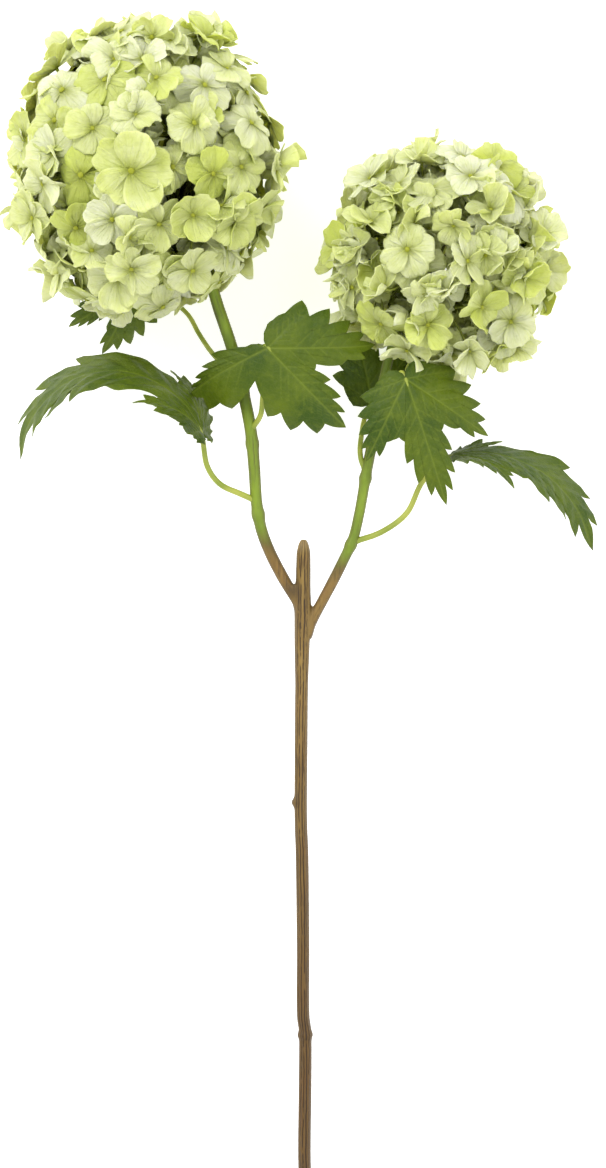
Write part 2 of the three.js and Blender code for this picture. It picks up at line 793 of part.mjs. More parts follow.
function buildHead(head) {
  const random = mulberry(head.seed);
  const stemWay = head.hub.clone().sub(head.centre).normalize();

  const knots = spread(head.clusters, head.seed)
    .map((way, i) => {
      const reach = head.radius * RAY_REACH * (i % 2 ? 1.06 : 0.94);
      const at = head.centre.clone().addScaledVector(way, reach);
      const ball = boxed(knotBall(at));
      return { way, at, ball, cluster: ball.solid, florets: 0 };
    })
    .filter((knot) => knot.way.angleTo(stemWay) > radians(STEM_CLEARANCE));

  // The umbel: a hub with one ray to each knot.
  let umbel = ball(head.hub, HUB_RADIUS, 0);
  knots.forEach((knot) => {
    const ray = rod(head.hub, knot.at, RAY_RADIUS * 1.3, RAY_RADIUS, 3);
    umbel = umbel.add(ray.subtract(knotBall(knot.at, PIECE_GAP)));
  });

  const placed = [];
  const fixed = [...obstacles, boxed(umbel)];
  const jitter = () => vec(between(random, -1, 1), between(random, -1, 1), between(random, -1, 1));
  function tryPlace(spot) {
    const nearer = (a, b) => (b.way.angleTo(spot.way) < a.way.angleTo(spot.way) ? b : a);
    const knot = knots.reduce(nearer);
    for (let attempt = 0; attempt < TRIES; attempt += 1) {
      const loose = attempt / TRIES;
      const depth = between(random, -0.05, 0.06) - 0.34 * loose * random();
      const shell = head.radius * ((spot.shell ?? SHELL) + depth);
      const stray = attempt < 3 ? 0.02 : 0.04 + 0.2 * loose;
      const aim = spot.way.clone().addScaledVector(jitter(), stray).normalize();
      const axis = aim.clone().addScaledVector(jitter(), spot.lean ?? 0.25 + 0.3 * loose);
      axis.z += spot.face ?? 0;
      const floret = {
        centre: head.centre.clone().addScaledVector(aim.clone().multiply(head.shape), shell),
        axis: axis.normalize(),
        spin: spot.spin === undefined ? between(random, 0, 2 * Math.PI) : radians(spot.spin),
        across: (spot.across ?? between(random, head.smallest, head.largest)) * (1 - 0.25 * loose),
        cup: between(random, -0.3, 0.2),
      };
      const out = floret.centre.clone().sub(knot.at).normalize();
      const foot = knot.at.clone().addScaledVector(out, FOOT_REACH);
      const whole = floretGeometry(floret, foot, random);
      const sink = REST_HEIGHT - lowest(whole);
      if (sink > MOST_LIFT) continue;
      if (sink > 0) {
        floret.centre.z += sink;
        whole.attributes.position.array.forEach((value, i, all) => {
          if (i % 3 === 2 && i < 3 * (whole.attributes.position.count - 3)) all[i] = value + sink;
        });
      }
      const body = solidOf(whole);
      const { box } = boxed(body);
      const others = placed.filter((other) => other.knot !== knot);
      const mates = placed.filter((other) => other.knot === knot).map((mate) => mate.free);
      const strangers = knots.filter((other) => other !== knot).map((other) => other.ball);
      if (tooClose(body, box, [...others, ...strangers, ...fixed], PIECE_GAP / 2)) continue;
      const free = boxed(largest(body.subtract(knot.ball.solid)));
      if (tooClose(free.solid, free.box, mates, MATE_GAP)) continue;
      const joined = knot.cluster.add(body).simplify(CRUMB);
      if (joined.genus() !== 0 || joined.decompose().length !== 1) continue;
      placed.push({ knot, free, solid: body, box });
      knot.cluster = joined;
      knot.florets += 1;
      return;
    }
  }

  const reach = head.radius * SHELL;
  const shown = SHOWN[head.name].map((spot) => {
    const flat = Math.hypot(spot.x, spot.y);
    const height = Math.sqrt(Math.max(0, reach * reach - flat * flat));
    return { face: 0.3, ...spot, way: vec(spot.x, spot.y, height).divide(head.shape).normalize() };
  });
  const filler = spread(head.florets, head.seed * 0.7)
    .filter((way) => shown.every((spot) => spot.way.angleTo(way) > SHOWN_ROOM))
    .map((way) => ({ way }));
  const inner = spread(head.inner, head.seed * 1.3).map((way) => ({ way, shell: INNER_SHELL }));
  [...shown, ...filler, ...inner].forEach(tryPlace);

  const clusters = knots.filter((knot) => knot.florets > 0).map((knot) => largest(knot.cluster));
  return { umbel, clusters };
}

// ---------------------------------------------------------------- the spray
const group = new THREE.Group();
const spray = new THREE.Group();
group.add(spray);

spray.add(named("main_stem", stemSolid, BARK));
spray.add(named("left_branch", left.solid, GREEN_BARK));
spray.add(named("right_branch", right.solid, GREEN_BARK));
PETIOLES.forEach((petiole) => spray.add(named(`petiole_${petiole.name}`, petiole.solid, PETIOLE_SKIN)));
LEAVES.forEach((leaf) => {
  const mesh = named(`leaf_${leaf.name}`, leaf.solid, LEAF_FACE);
  leaf.matrix.decompose(mesh.position, mesh.quaternion, mesh.scale);
  spray.add(mesh);
});
HEADS.forEach((head) => {
  const { umbel, clusters } = buildHead(head);
  spray.add(named(`${head.name}_umbel`, umbel, RAY_SKIN));
  clusters.forEach((cluster, i) => {
    spray.add(named(`${head.name}_florets_${String(i + 1).padStart(2, "0")}`, cluster, PETAL_CLOTH));
  });
});

// The origin is the middle of the spray's outline from above, on the surface it lies on.
const outline = new THREE.Box3().setFromObject(spray, true);
const middle = outline.getCenter(vec(0, 0, 0));
spray.position.set(-middle.x, -middle.y, -outline.min.z);

export default group;
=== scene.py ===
"""Artificial snowball viburnum spray (guelder rose) lying on a pale floor, seen from straight above.

Lengths in the sections on stems, leaves and florets are millimetres in the plant's own
coordinates: x to the right, y towards the flower heads, z up from the floor. to_frame turns
them into the frame's metres."""

import math

import bpy
import numpy as np
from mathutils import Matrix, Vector
from mathutils.kdtree import KDTree


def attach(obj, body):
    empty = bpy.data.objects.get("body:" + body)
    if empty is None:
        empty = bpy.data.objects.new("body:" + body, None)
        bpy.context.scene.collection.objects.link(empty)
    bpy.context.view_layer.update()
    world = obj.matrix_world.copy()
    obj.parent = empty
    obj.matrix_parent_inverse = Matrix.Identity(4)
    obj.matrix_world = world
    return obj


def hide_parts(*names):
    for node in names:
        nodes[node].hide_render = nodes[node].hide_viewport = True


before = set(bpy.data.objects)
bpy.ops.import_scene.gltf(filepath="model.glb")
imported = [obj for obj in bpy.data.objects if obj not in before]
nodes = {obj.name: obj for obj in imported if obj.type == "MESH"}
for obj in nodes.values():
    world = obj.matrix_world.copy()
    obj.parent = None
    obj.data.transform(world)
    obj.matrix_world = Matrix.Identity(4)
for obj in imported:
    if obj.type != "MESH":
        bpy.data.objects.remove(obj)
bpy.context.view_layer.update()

MM = 0.001
ORIGIN = np.array([0.918, 35.7745, -0.0136])  # where the plant's own zero is in the frame


def to_frame(points):
    """Plant millimetres to frame metres."""
    return (np.asarray(points, float) + ORIGIN) * MM


def to_plant(points):
    """Frame metres to plant millimetres."""
    return np.asarray(points, float) / MM - ORIGIN


def unit(vector):
    vector = np.asarray(vector, float)
    return vector / np.linalg.norm(vector, axis=-1, keepdims=True)


def put(name, data):
    """A new object in the scene."""
    made = bpy.data.objects.new(name, data)
    bpy.context.scene.collection.objects.link(made)
    return made


def fade(values, start, over):
    """From 0 to 1 as values go from start to start + over."""
    return np.clip((values - start) / over, 0, 1)


# ------------ colours and shader graphs
def srgb(red, green, blue):
    """A colour given as 0 to 255 screen values, as linear values with alpha."""
    linear = [
        (c / 255 / 12.92) if c / 255 <= 0.04045 else ((c / 255 + 0.055) / 1.055) ** 2.4
        for c in (red, green, blue)
    ]
    return (*linear, 1.0)


class Graph:
    """A material's node graph with one Principled shader."""

    def __init__(self, name):
        self.material = bpy.data.materials.new(name)
        self.material.use_nodes = True
        self.tree = self.material.node_tree
        self.shader = self.tree.nodes["Principled BSDF"]

    def node(self, kind, inputs=None, **settings):
        made = self.tree.nodes.new(kind)
        for key, value in settings.items():
            setattr(made, key, value)
        for key, value in (inputs or {}).items():
            self.feed(made.inputs[key], value)
        return made

    def feed(self, socket, value):
        if isinstance(value, bpy.types.NodeSocket):
            self.tree.links.new(value, socket)
        else:
            socket.default_value = value

    def thin(self, grain, light, dark, levels, bump):
        """A dull two-toned material for rays and stalks."""
        colour, normal = self.over(light, dark, grain, *levels), self.bump(grain, *bump)
        return self.finish(Base_Color=colour, Roughness=0.6, Normal=normal)

    def finish(self, **values):
        """The material, with the named sockets of its shader fed. A name has _ for a space."""
        for name, value in values.items():
            self.feed(self.shader.inputs[name.replace("_", " ")], value)
        return self.material

    def attribute(self, name):
        return self.node("ShaderNodeAttribute", attribute_name=name).outputs["Fac"]

    def place(self, scale=(1, 1, 1), uv=None, shift=(0, 0, 0)):
        """Object coordinates, or a UV map's, stretched by scale and then shifted."""
        if uv:
            source = self.node("ShaderNodeUVMap", uv_map=uv).outputs["UV"]
        else:
            source = self.node("ShaderNodeTexCoord").outputs["Object"]
        inputs = {"Vector": source, "Scale": scale, "Location": shift}
        return self.node("ShaderNodeMapping", inputs).outputs["Vector"]

    def noise(self, vector, scale, detail=3.0, rough=0.55, distort=0.0):
        inputs = {"Vector": vector, "Scale": scale, "Detail": detail}
        inputs |= {"Roughness": rough, "Distortion": distort}
        return self.node("ShaderNodeTexNoise", inputs).outputs["Fac"]

    def ramp(self, factor, stops):
        """A curve from a factor to a colour or a grey level, through (position, value) stops."""
        made = self.node("ShaderNodeValToRGB", {"Fac": factor})
        bar = made.color_ramp.elements
        while len(bar) < len(stops):
            bar.new(0.5)
        for element, (position, value) in zip(bar, stops):
            element.position = position
            element.color = value if isinstance(value, tuple) else (value, value, value, 1.0)
        return made.outputs["Color"]

    def mix(self, factor, first, second, blend="MIX"):
        made = self.node("ShaderNodeMix", data_type="RGBA", blend_type=blend)
        self.feed(made.inputs[0], factor)
        self.feed(made.inputs[6], first)
        self.feed(made.inputs[7], second)
        return made.outputs[2]

    def math(self, operation, first, second=0.0):
        made = self.node("ShaderNodeMath", operation=operation)
        self.feed(made.inputs[0], first)
        self.feed(made.inputs[1], second)
        return made.outputs[0]

    def over(self, base, colour, factor, low, high, amount=1.0):
        """Base with a colour laid over it, from none where a factor is low to amount where it is high."""
        return self.mix(self.ramp(factor, [(low, 0.0), (high, amount)]), base, colour)

    def tint(self, base, colour, factor, amount):
        """Base with a colour laid over it, by a share of a factor or of a named attribute."""
        if isinstance(factor, str):
            factor = self.attribute(factor)
        return self.mix(self.math("MULTIPLY", factor, amount), base, colour)

    def centred(self, factor, spread):
        """A noise factor shifted to lie about zero, over the given spread."""
        return self.math("MULTIPLY", self.math("SUBTRACT", factor, 0.5), spread)

    def bump(self, height, distance, strength=1.0, under=None):
        inputs = {"Height": height, "Distance": distance, "Strength": strength}
        if under is not None:
            inputs["Normal"] = under
        return self.node("ShaderNodeBump", inputs).outputs["Normal"]


BARK_TAN = srgb(150, 121, 58)
BARK_BROWN = srgb(108, 79, 28)
BARK_DARK = srgb(70, 52, 22)
BARK_CRACK = srgb(46, 24, 8)
BARK_RUST = srgb(128, 80, 36)
BARK_PALE = srgb(176, 152, 104)
TWIG_GREEN = srgb(136, 160, 36)
TWIG_DEEP = srgb(96, 118, 18)
TWIG_OLIVE = srgb(92, 80, 26)
PETIOLE_YELLOW = srgb(178, 184, 76)
PETIOLE_GREEN = srgb(140, 156, 52)
LEAF_GREEN = srgb(92, 110, 14)
LEAF_DEEP = srgb(58, 82, 10)
LEAF_OLIVE = srgb(112, 126, 28)
LEAF_VEIN = srgb(128, 144, 48)
LEAF_BACK = srgb(96, 120, 40)
PETAL_LIGHT = srgb(240, 244, 196)
PETAL_MID = srgb(226, 234, 154)
PETAL_GREEN = srgb(202, 215, 100)
PETAL_THROAT = srgb(150, 162, 26)
PETAL_BOSS = srgb(158, 164, 34)
STALK_LIGHT = srgb(158, 168, 66)
STALK_DARK = srgb(118, 128, 40)
WIRE_DARK = srgb(104, 102, 98)
WIRE_LIGHT = srgb(146, 143, 138)
FLOOR_GREY = srgb(247, 247, 246)
FLOOR_WHITE = srgb(252, 252, 251)
RAY_OLIVE = srgb(122, 130, 48)
RAY_DARK = srgb(84, 80, 32)


# Cracks along the upper side of the stem: offset and half width in mm, and how fast each one wanders.
CRACKS = [(-0.6, 0.26, 42.0), (0.55, 0.2, 61.0), (-1.5, 0.13, 87.0), (1.5, 0.14, 73.0)]


def wood_material():
    """Moulded and painted wood: tan to brown, streaked and cracked, green up the two branches, with painted
    shade on its sides, in its deepest grooves and in the fork's crotch.
    """
    g = Graph("bark")
    streaks = g.noise(g.place((1.0, 0.045, 1.0)), 950.0, 4.0, 0.6)
    broad = g.noise(g.place((1.0, 0.1, 1.0)), 240.0, 3.0, 0.5)
    fine = g.noise(g.place((1.0, 0.3, 1.0)), 1900.0, 3.0, 0.6)
    cloudy = g.noise(g.place((1.0, 0.35, 1.0)), 120.0, 3.0, 0.55)
    brown = g.mix(g.attribute("high"), BARK_BROWN, BARK_TAN)
    brown = g.over(brown, BARK_BROWN, broad, 0.38, 0.7, 0.65)
    brown = g.over(brown, BARK_RUST, cloudy, 0.56, 0.74, 0.3)
    brown = g.over(brown, BARK_DARK, streaks, 0.52, 0.68, 0.7)
    green = g.over(TWIG_GREEN, TWIG_DEEP, cloudy, 0.35, 0.68)
    green = g.over(green, TWIG_OLIVE, streaks, 0.56, 0.76, 0.35)
    change = g.math("ADD", g.attribute("green"), g.centred(cloudy, 0.5))
    olive = g.over(brown, TWIG_OLIVE, change, 0.1, 0.5, 0.85)
    base = g.over(olive, green, change, 0.4, 0.85)
    # painted shade: the sides of the stem and branches are darkened towards this shade colour, as light
    # grazing them would shade them
    shade = g.mix(change, BARK_DARK, TWIG_OLIVE)
    base = g.tint(base, shade, "flank", 0.75)
    # painted shade in the deepest grooves of the grain and in the fork's crotch
    base = g.tint(base, BARK_DARK, "groove", 0.6)
    cracks = 0.0
    for number, (offset, half, rate) in enumerate(CRACKS):
        meander_place = g.place((0.0, rate, 0.0), shift=(7.3 * number, 0, 2.1))
        broken_place = g.place((0.0, 1.6 * rate, 0.0), shift=(0, 3.7 * number, 11.9 * number))
        meander = g.noise(meander_place, 1.0, 4.0, 0.6)
        broken = g.noise(broken_place, 1.0, 3.0, 0.7)
        line = g.math("ADD", g.attribute("around"), g.centred(meander, 1.5))
        away = g.math("ABSOLUTE", g.math("SUBTRACT", line, offset))
        core = g.ramp(g.math("DIVIDE", away, half * 2), [(0.25, 1.0), (0.5, 0.0)])
        crack = g.math("MULTIPLY", core, g.ramp(broken, [(0.38, 0.0), (0.47, 1.0)]))
        cracks = g.math("MAXIMUM", cracks, crack)
    cracks = g.math("MULTIPLY", cracks, g.attribute("stem"))
    base = g.tint(base, BARK_CRACK, cracks, 0.9)
    base = g.tint(base, BARK_PALE, "pale", 0.7)
    height = g.math("ADD", streaks, g.math("MULTIPLY", fine, 0.5))
    height = g.math("SUBTRACT", height, g.math("MULTIPLY", cracks, 1.2))
    return g.finish(
        Base_Color=base, Roughness=g.ramp(fine, [(0.3, 0.42), (0.7, 0.62)]),
        Normal=g.bump(height, 0.0005, 0.8),
    )


def petiole_material():
    g = Graph("petiole")
    grain = g.noise(g.place(), 700.0, 3.0, 0.6)
    cloudy = g.noise(g.place(), 120.0, 2.0, 0.5)
    base = g.over(PETIOLE_YELLOW, PETIOLE_GREEN, cloudy, 0.35, 0.7)
    base = g.mix(g.ramp(g.attribute("along"), [(0.0, 0.7), (0.2, 0.0)]), base, PETIOLE_GREEN)
    return g.finish(
        Base_Color=base, Roughness=g.ramp(grain, [(0.3, 0.38), (0.7, 0.52)]),
        Normal=g.bump(grain, 0.0002, 0.5),
    )


def leaf_material():
    """Pressed cloth leaf: satin green with paler veins, mottled, with a duller back."""
    g = Graph("leaf")
    patches = g.noise(g.place(), 46.0, 4.0, 0.6, 0.4)
    mottle = g.noise(g.place(), 330.0, 4.0, 0.65)
    cell_inputs = {"Vector": g.place(), "Scale": 620.0}
    cells = g.node("ShaderNodeTexVoronoi", cell_inputs, feature="DISTANCE_TO_EDGE")
    net = g.ramp(cells.outputs["Distance"], [(0.0, 1.0), (0.09, 0.0)])
    weave = g.noise(g.place(), 2600.0, 2.0, 0.6)
    front = g.over(LEAF_GREEN, LEAF_DEEP, patches, 0.34, 0.64)
    front = g.over(front, LEAF_OLIVE, mottle, 0.5, 0.78, 0.45)
    front = g.tint(front, LEAF_VEIN, net, 0.1)
    back = g.over(LEAF_BACK, LEAF_GREEN, patches, 0.3, 0.7)
    base = g.mix(g.attribute("back"), front, back)
    base = g.tint(base, LEAF_VEIN, "vein", 0.45)
    base = g.tint(base, LEAF_OLIVE, "rim", 0.35)
    fine = g.bump(g.math("ADD", net, g.math("MULTIPLY", weave, 0.8)), 0.00012, 0.55)
    return g.finish(
        Base_Color=base, Roughness=g.ramp(mottle, [(0.3, 0.38), (0.7, 0.54)]), Specular_IOR_Level=0.26,
        Sheen_Weight=0.02, Normal=g.bump(mottle, 0.0006, 0.35, fine),
    )


def petal_material():
    """Thin pale cloth: greener at the throat, fanned by fine veins, each floret its own tone."""
    g = Graph("petal")
    fan = g.noise(g.place((13.0, 1.1, 1.0), uv="petal"), 1.0, 4.0, 0.62, 0.25)
    crumple = g.noise(g.place(), 420.0, 3.0, 0.6, 0.5)
    broad = g.noise(g.place(), 150.0, 3.0, 0.55)
    weave = g.noise(g.place(), 2300.0, 2.0, 0.6)
    tone = g.math("ADD", g.attribute("tone"), g.centred(broad, 0.9))
    base = g.ramp(tone, [(0.05, PETAL_LIGHT), (0.5, PETAL_MID), (0.95, PETAL_GREEN)])
    throat = g.ramp(g.attribute("reach"), [(0.03, 1.0), (0.13, 0.7), (0.32, 0.2), (0.6, 0.0)])
    base = g.mix(throat, base, PETAL_THROAT)
    lines = g.ramp(fan, [(0.5, 0.0), (0.64, 1.0)])
    base = g.tint(base, PETAL_GREEN, lines, 0.42)
    base = g.tint(base, PETAL_BOSS, "boss", 0.9)
    threads = g.bump(weave, 0.0001, 0.4)
    rumples = g.bump(crumple, 0.0012, 0.55, threads)
    return g.finish(
        Base_Color=base, Roughness=g.ramp(crumple, [(0.35, 0.42), (0.7, 0.66)]),
        Specular_IOR_Level=0.4, Sheen_Weight=0.1, Sheen_Roughness=0.5, Subsurface_Weight=0.3,
        Subsurface_Radius=(1.0, 1.0, 0.35), Subsurface_Scale=0.002,
        Normal=g.bump(fan, 0.001, 0.9, rumples),
    )


def ray_material():
    g = Graph("ray")
    return g.thin(g.noise(g.place(), 420.0, 3.0, 0.6), RAY_OLIVE, RAY_DARK, (0.38, 0.68), (0.0003, 0.5))


def stalk_material():
    g = Graph("floret_stalk")
    return g.thin(g.noise(g.place(), 500.0, 2.0, 0.5), STALK_LIGHT, STALK_DARK, (0.35, 0.7), (0.0002, 0.4))


def wire_material():
    g = Graph("core_wire")
    grain = g.noise(g.place(), 900.0, 3.0, 0.6)
    return g.finish(
        Base_Color=g.mix(grain, WIRE_DARK, WIRE_LIGHT), Metallic=0.9,
        Roughness=g.ramp(grain, [(0.3, 0.3), (0.7, 0.5)]),
    )


# ------------ meshes
class Parts:
    """Points, faces and fields of several shapes that share one piece."""

    def __init__(self, fields, with_uv=False):
        self.points = []
        self.faces = []
        self.kinds = []
        self.fields = {field: [] for field in fields}
        self.uv = [] if with_uv else None
        self.count = 0

    def add(self, points, faces, kind=0, uv=None, **values):
        points = np.asarray(points, float).reshape(-1, 3)
        self.points.append(points)
        self.faces.extend([tuple(i + self.count for i in face) for face in faces])
        self.kinds.extend([kind] * len(faces))
        for field, store in self.fields.items():
            store.append(np.broadcast_to(np.asarray(values.get(field, 0.0), float), (len(points),)))
        if self.uv is not None:
            self.uv.append(np.zeros((len(points), 2)) if uv is None else uv)
        self.count += len(points)

    def piece(self, name, materials, slot, replaces, uv_name=None):
        """Makes one smooth piece on the one body, in place of the CAD nodes it replaces."""
        mesh = bpy.data.meshes.new(name)
        mesh.from_pydata(to_frame(np.concatenate(self.points)).tolist(), [], self.faces)
        mesh.polygons.foreach_set("use_smooth", np.ones(len(mesh.polygons), bool))
        for material in materials:
            mesh.materials.append(material)
        mesh.polygons.foreach_set("material_index", np.asarray(self.kinds, np.int32))
        for field, store in self.fields.items():
            layer = mesh.attributes.new(field, "FLOAT", "POINT")
            layer.data.foreach_set("value", np.concatenate(store).astype(np.float32))
        if uv_name:
            corner = np.empty(len(mesh.loops), np.int32)
            mesh.loops.foreach_get("vertex_index", corner)
            layer = mesh.uv_layers.new(name=uv_name)
            layer.data.foreach_set("uv", np.concatenate(self.uv).astype(np.float32)[corner].ravel())
        mesh.update()
        piece = put(name, mesh)
        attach(piece, "root")
        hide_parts(*replaces)


def between(first, second, start, end, t):
    """The point that is first where t is start, and second where t is end."""
    return (end - t) / (end - start) * first + (t - start) / (end - start) * second


def fan(tip, start, sides, turned_over=False):
    """Triangles from a tip to the ring of points that begins at start."""
    ring = [(start + k, start + (k + 1) % sides) for k in range(sides)]
    return [(tip, b, a) if turned_over else (tip, a, b) for a, b in ring]


def grid_faces(rows, columns, first=0, closed=True, turned_over=False):
    """Four-sided faces of a grid of points, which closes round its columns or stays open."""
    faces = []
    for i in range(rows - 1):
        for k in range(columns if closed else columns - 1):
            a = first + i * columns + k
            b = first + i * columns + (k + 1) % columns
            face = (a, b, b + columns, a + columns)
            faces.append((a, *face[:0:-1]) if turned_over else face)
    return faces


ROUTE_FINENESS = 24  # points worked out for each stretch of a route


def route_points(points, count):
    """Points at even steps along a centripetal Catmull-Rom curve through the given points."""
    points = np.asarray(points, float)
    ends = np.vstack([2 * points[0] - points[1], points, 2 * points[-1] - points[-2]])
    dense = []
    for i in range(len(points) - 1):
        row = ends[i : i + 4]
        knots = np.cumsum([0, *(np.linalg.norm(b - a) ** 0.5 for a, b in zip(row, row[1:]))])
        t = np.linspace(knots[1], knots[2], ROUTE_FINENESS, endpoint=False)[:, None]
        for span in (1, 2):
            pairs = zip(row, row[1:], knots, knots[span:])
            row = [between(*pair, t) for pair in pairs]
        dense.append(between(*row, knots[1], knots[2], t))
    dense = np.vstack([*dense, points[-1:]])
    reach = np.concatenate([[0], np.cumsum(np.linalg.norm(np.diff(dense, axis=0), axis=1))])
    wanted = np.linspace(0, reach[-1], count)
    return np.column_stack([np.interp(wanted, reach, dense[:, k]) for k in range(3)])


def tube(points, radii, sides, relief=None):
    """A closed tube, as points, faces and shares of the length. relief(along, angle) adds radius."""
    points = np.asarray(points, float)
    radii = np.asarray(radii, float)
    count = len(points)
    tangent = unit(np.gradient(points, axis=0))
    chord = np.abs(unit(points[-1] - points[0]))
    reference = np.eye(3)[int(np.argmin(chord))] if chord[0] > 0.5 else np.array([1.0, 0, 0])
    side = unit(reference - (tangent @ reference)[:, None] * tangent)
    up = np.cross(side, tangent)
    angle = np.linspace(0, 2 * math.pi, sides, endpoint=False)
    along = np.linspace(0, 1, count)
    grid_along, grid_angle = np.meshgrid(along, angle, indexing="ij")
    radius = np.repeat(radii[:, None], sides, axis=1)
    if relief is not None:
        radius = radius + relief(grid_along, grid_angle)
    around = np.cos(grid_angle)[..., None] * side[:, None] + np.sin(grid_angle)[..., None] * up[:, None]
    shell = (points[:, None] + around * radius[..., None]).reshape(-1, 3)
    faces = grid_faces(count, sides) + fan(count * sides, 0, sides, turned_over=True)
    faces += fan(count * sides + 1, (count - 1) * sides, sides)
    shell = np.vstack([shell, points[0], points[-1]])
    return shell, faces, np.concatenate([grid_along.ravel(), [0, 1]])


def wander(seed, count, lowest, highest):
    """A smooth random curve of one variable, from -1 to 1, made of a few sines."""
    own = np.random.default_rng(seed)
    rates = own.uniform(lowest, highest, count)
    phases = own.uniform(0, 2 * math.pi, count)

    def value(x):
        return sum(np.sin(rate * x + phase) for rate, phase in zip(rates, phases)) / count

    return value


# ------------ stem and branches
CUT_END_Y = -275.0
STEM_RADIUS = 2.35
FORK_Y = -17.0
FORK_HEIGHT = 30.214
STEM_SLOPE = (FORK_HEIGHT - STEM_RADIUS) / (FORK_Y - CUT_END_Y)
LEFT_SLOPE = 0.108
RIGHT_SLOPE = 0.062
STEM_ROUTE = [
    (1.6, CUT_END_Y), (1.3, -246), (0.5, -208), (0.7, -163), (0.1, -158), (0, -130), (-0.4, -98),
    (-0.8, -85), (-0.7, -55), (-0.4, -30), (-0.1, -9), (0.1, 6), (0.2, 16),
]
LEFT_ROUTE = [
    (0.2, -10), (-2.4, -5.8), (-5.2, -1.2), (-8.4, 4.4), (-12, 11.6), (-15, 19.6), (-16.7, 29),
    (-17.6, 42), (-18.8, 55), (-21.3, 68), (-25.3, 84), (-30, 98), (-34.6, 112), (-45, 131),
]
RIGHT_ROUTE = [
    (0.6, -19.5), (3.4, -12.9), (7.2, -5.7), (11, 1.4), (14.6, 8.6), (17.8, 15.6), (20.4, 26),
    (22.8, 40), (25.7, 55), (28.9, 73), (33.9, 90), (45, 108),
]
STEM_TAPER = [
    (0, 2.35), (0.6, 2.3), (0.82, 2.35), (0.87, 2.75), (0.915, 3.1), (0.945, 2.75), (0.984, 2.5),
    (0.995, 1.8), (1, 0.9),
]
LEFT_TAPER = [(0, 2), (0.08, 2.1), (0.3, 2.1), (0.5, 2.2), (0.75, 2.15), (1, 1.8)]
RIGHT_TAPER = [(0, 2.1), (0.12, 2), (0.3, 1.9), (0.6, 1.95), (1, 1.7)]
UPPER_SIDE, LEFT_SIDE = math.pi / 2, math.pi
# Collars and buds: share of the length, height, reach, and the angle they face or None for all round.
STEM_COLLARS = [(0.1, 0.6, 0.004, None), (0.38, 0.55, 0.004, None), (0.673, 1.1, 0.005, LEFT_SIDE)]
LEFT_COLLARS = [(0.26, 0.4, 0.012, None), (0.43, 0.35, 0.012, None), (0.56, 0.3, 0.012, None)]
RIGHT_COLLARS = [(0.275, 0.4, 0.012, None), (0.455, 0.45, 0.012, None)]
GREEN_FROM = {"stem": math.inf, "left": 7.0, "right": -2.0}  # y where green begins, never on the stem
GREEN_OVER = 16.0
TAN = (-150.0, 120.0)  # y where the stem begins to turn from brown to tan, and over how far
PALE_TIP = (11.0, 3.0)  # the same for the stub's pale tip
PALE_CUT = (CUT_END_Y + 0.3, -0.2)  # and for the cut end, which lies the other way
WEBS = {  # thickenings that fill the two notches of the fork: (x, y) line and radius
    "left": ([(-1.4, -9.5), (-3.6, -0.4)], 1.9),
    "right": ([(1.4, -19), (3.5, -11.6)], 2.0),
}
CROTCH_SHADE_AT = np.array([-4.4, -2.6])  # painted shade: the left branch is darkest where it leaves the stem, in the fork's crotch
CROTCH_SHADE_REACH, CROTCH_SHADE_DEPTH = 3.6, 1.2
FORK_CENTRE = np.array([0.5, -8.0])
FORK_REACH = 10.0  # the fork is smoothed more within this distance of its centre
FORK_SHARE, FORK_ROUNDS = 0.6, 16
WOOD_GRID = 0.36  # the voxel size that the stem and the branches are fused at
WOOD_SIDES = 48
BLEND_RATE = 3.0  # how sharply one branch's grain gives way to another's, per millimetre
BLEND_RANGE = (-2.5, 8.0)
LOWEST_WOOD = 0.02
WIRE_RADIUS = 0.75
WIRE_REACHES = (-0.3, 0.3, 3)  # along the stem from its cut end


def on_route(route, slope):
    """The (x, y) points of a route, with heights that rise from the fork's at a slope."""
    return [(x, y, FORK_HEIGHT + slope * (y - FORK_Y)) for x, y in route]


def fuse(parts, grid):
    """One closed surface round shapes that overlap, from a fine voxel grid."""
    mesh = bpy.data.meshes.new("overlapping")
    mesh.from_pydata(np.concatenate(parts.points).tolist(), [], parts.faces)
    body = put("overlapping", mesh)
    merge = body.modifiers.new("merge", "REMESH")
    merge.mode = "VOXEL"
    merge.voxel_size = grid
    fused = body.evaluated_get(bpy.context.evaluated_depsgraph_get()).data
    points = np.empty(len(fused.vertices) * 3)
    fused.vertices.foreach_get("co", points)
    faces = [tuple(polygon.vertices) for polygon in fused.polygons]
    bpy.data.objects.remove(body)
    bpy.data.meshes.remove(mesh)
    return points.reshape(-1, 3), faces


def sums(index, vectors, count):
    """The vectors added up by index."""
    return np.column_stack([np.bincount(index, vectors[:, axis], count) for axis in range(3)])


def smooth(points, faces, share, rounds):
    """Moves each point towards the middle of its neighbours, by its own share, several times."""
    quads = np.array(faces)
    edges = np.vstack([np.column_stack([quads[:, k], quads[:, (k + 1) % 4]]) for k in range(4)])
    count = np.bincount(edges[:, 0], minlength=len(points))[:, None]
    for _ in range(rounds):
        total = sums(edges[:, 0], points[edges[:, 1]], len(points))
        points = points + share[:, None] * (total / count - points)
    return points


def point_normals(points, faces):
    """Outward directions at the points of a surface made of four-sided faces."""
    quads = np.array(faces)
    first, second, third, fourth = (points[quads[:, k]] for k in range(4))
    normal = np.cross(third - first, fourth - second)
    return unit(sums(quads.ravel(), np.repeat(normal, 4, axis=0), len(points)))


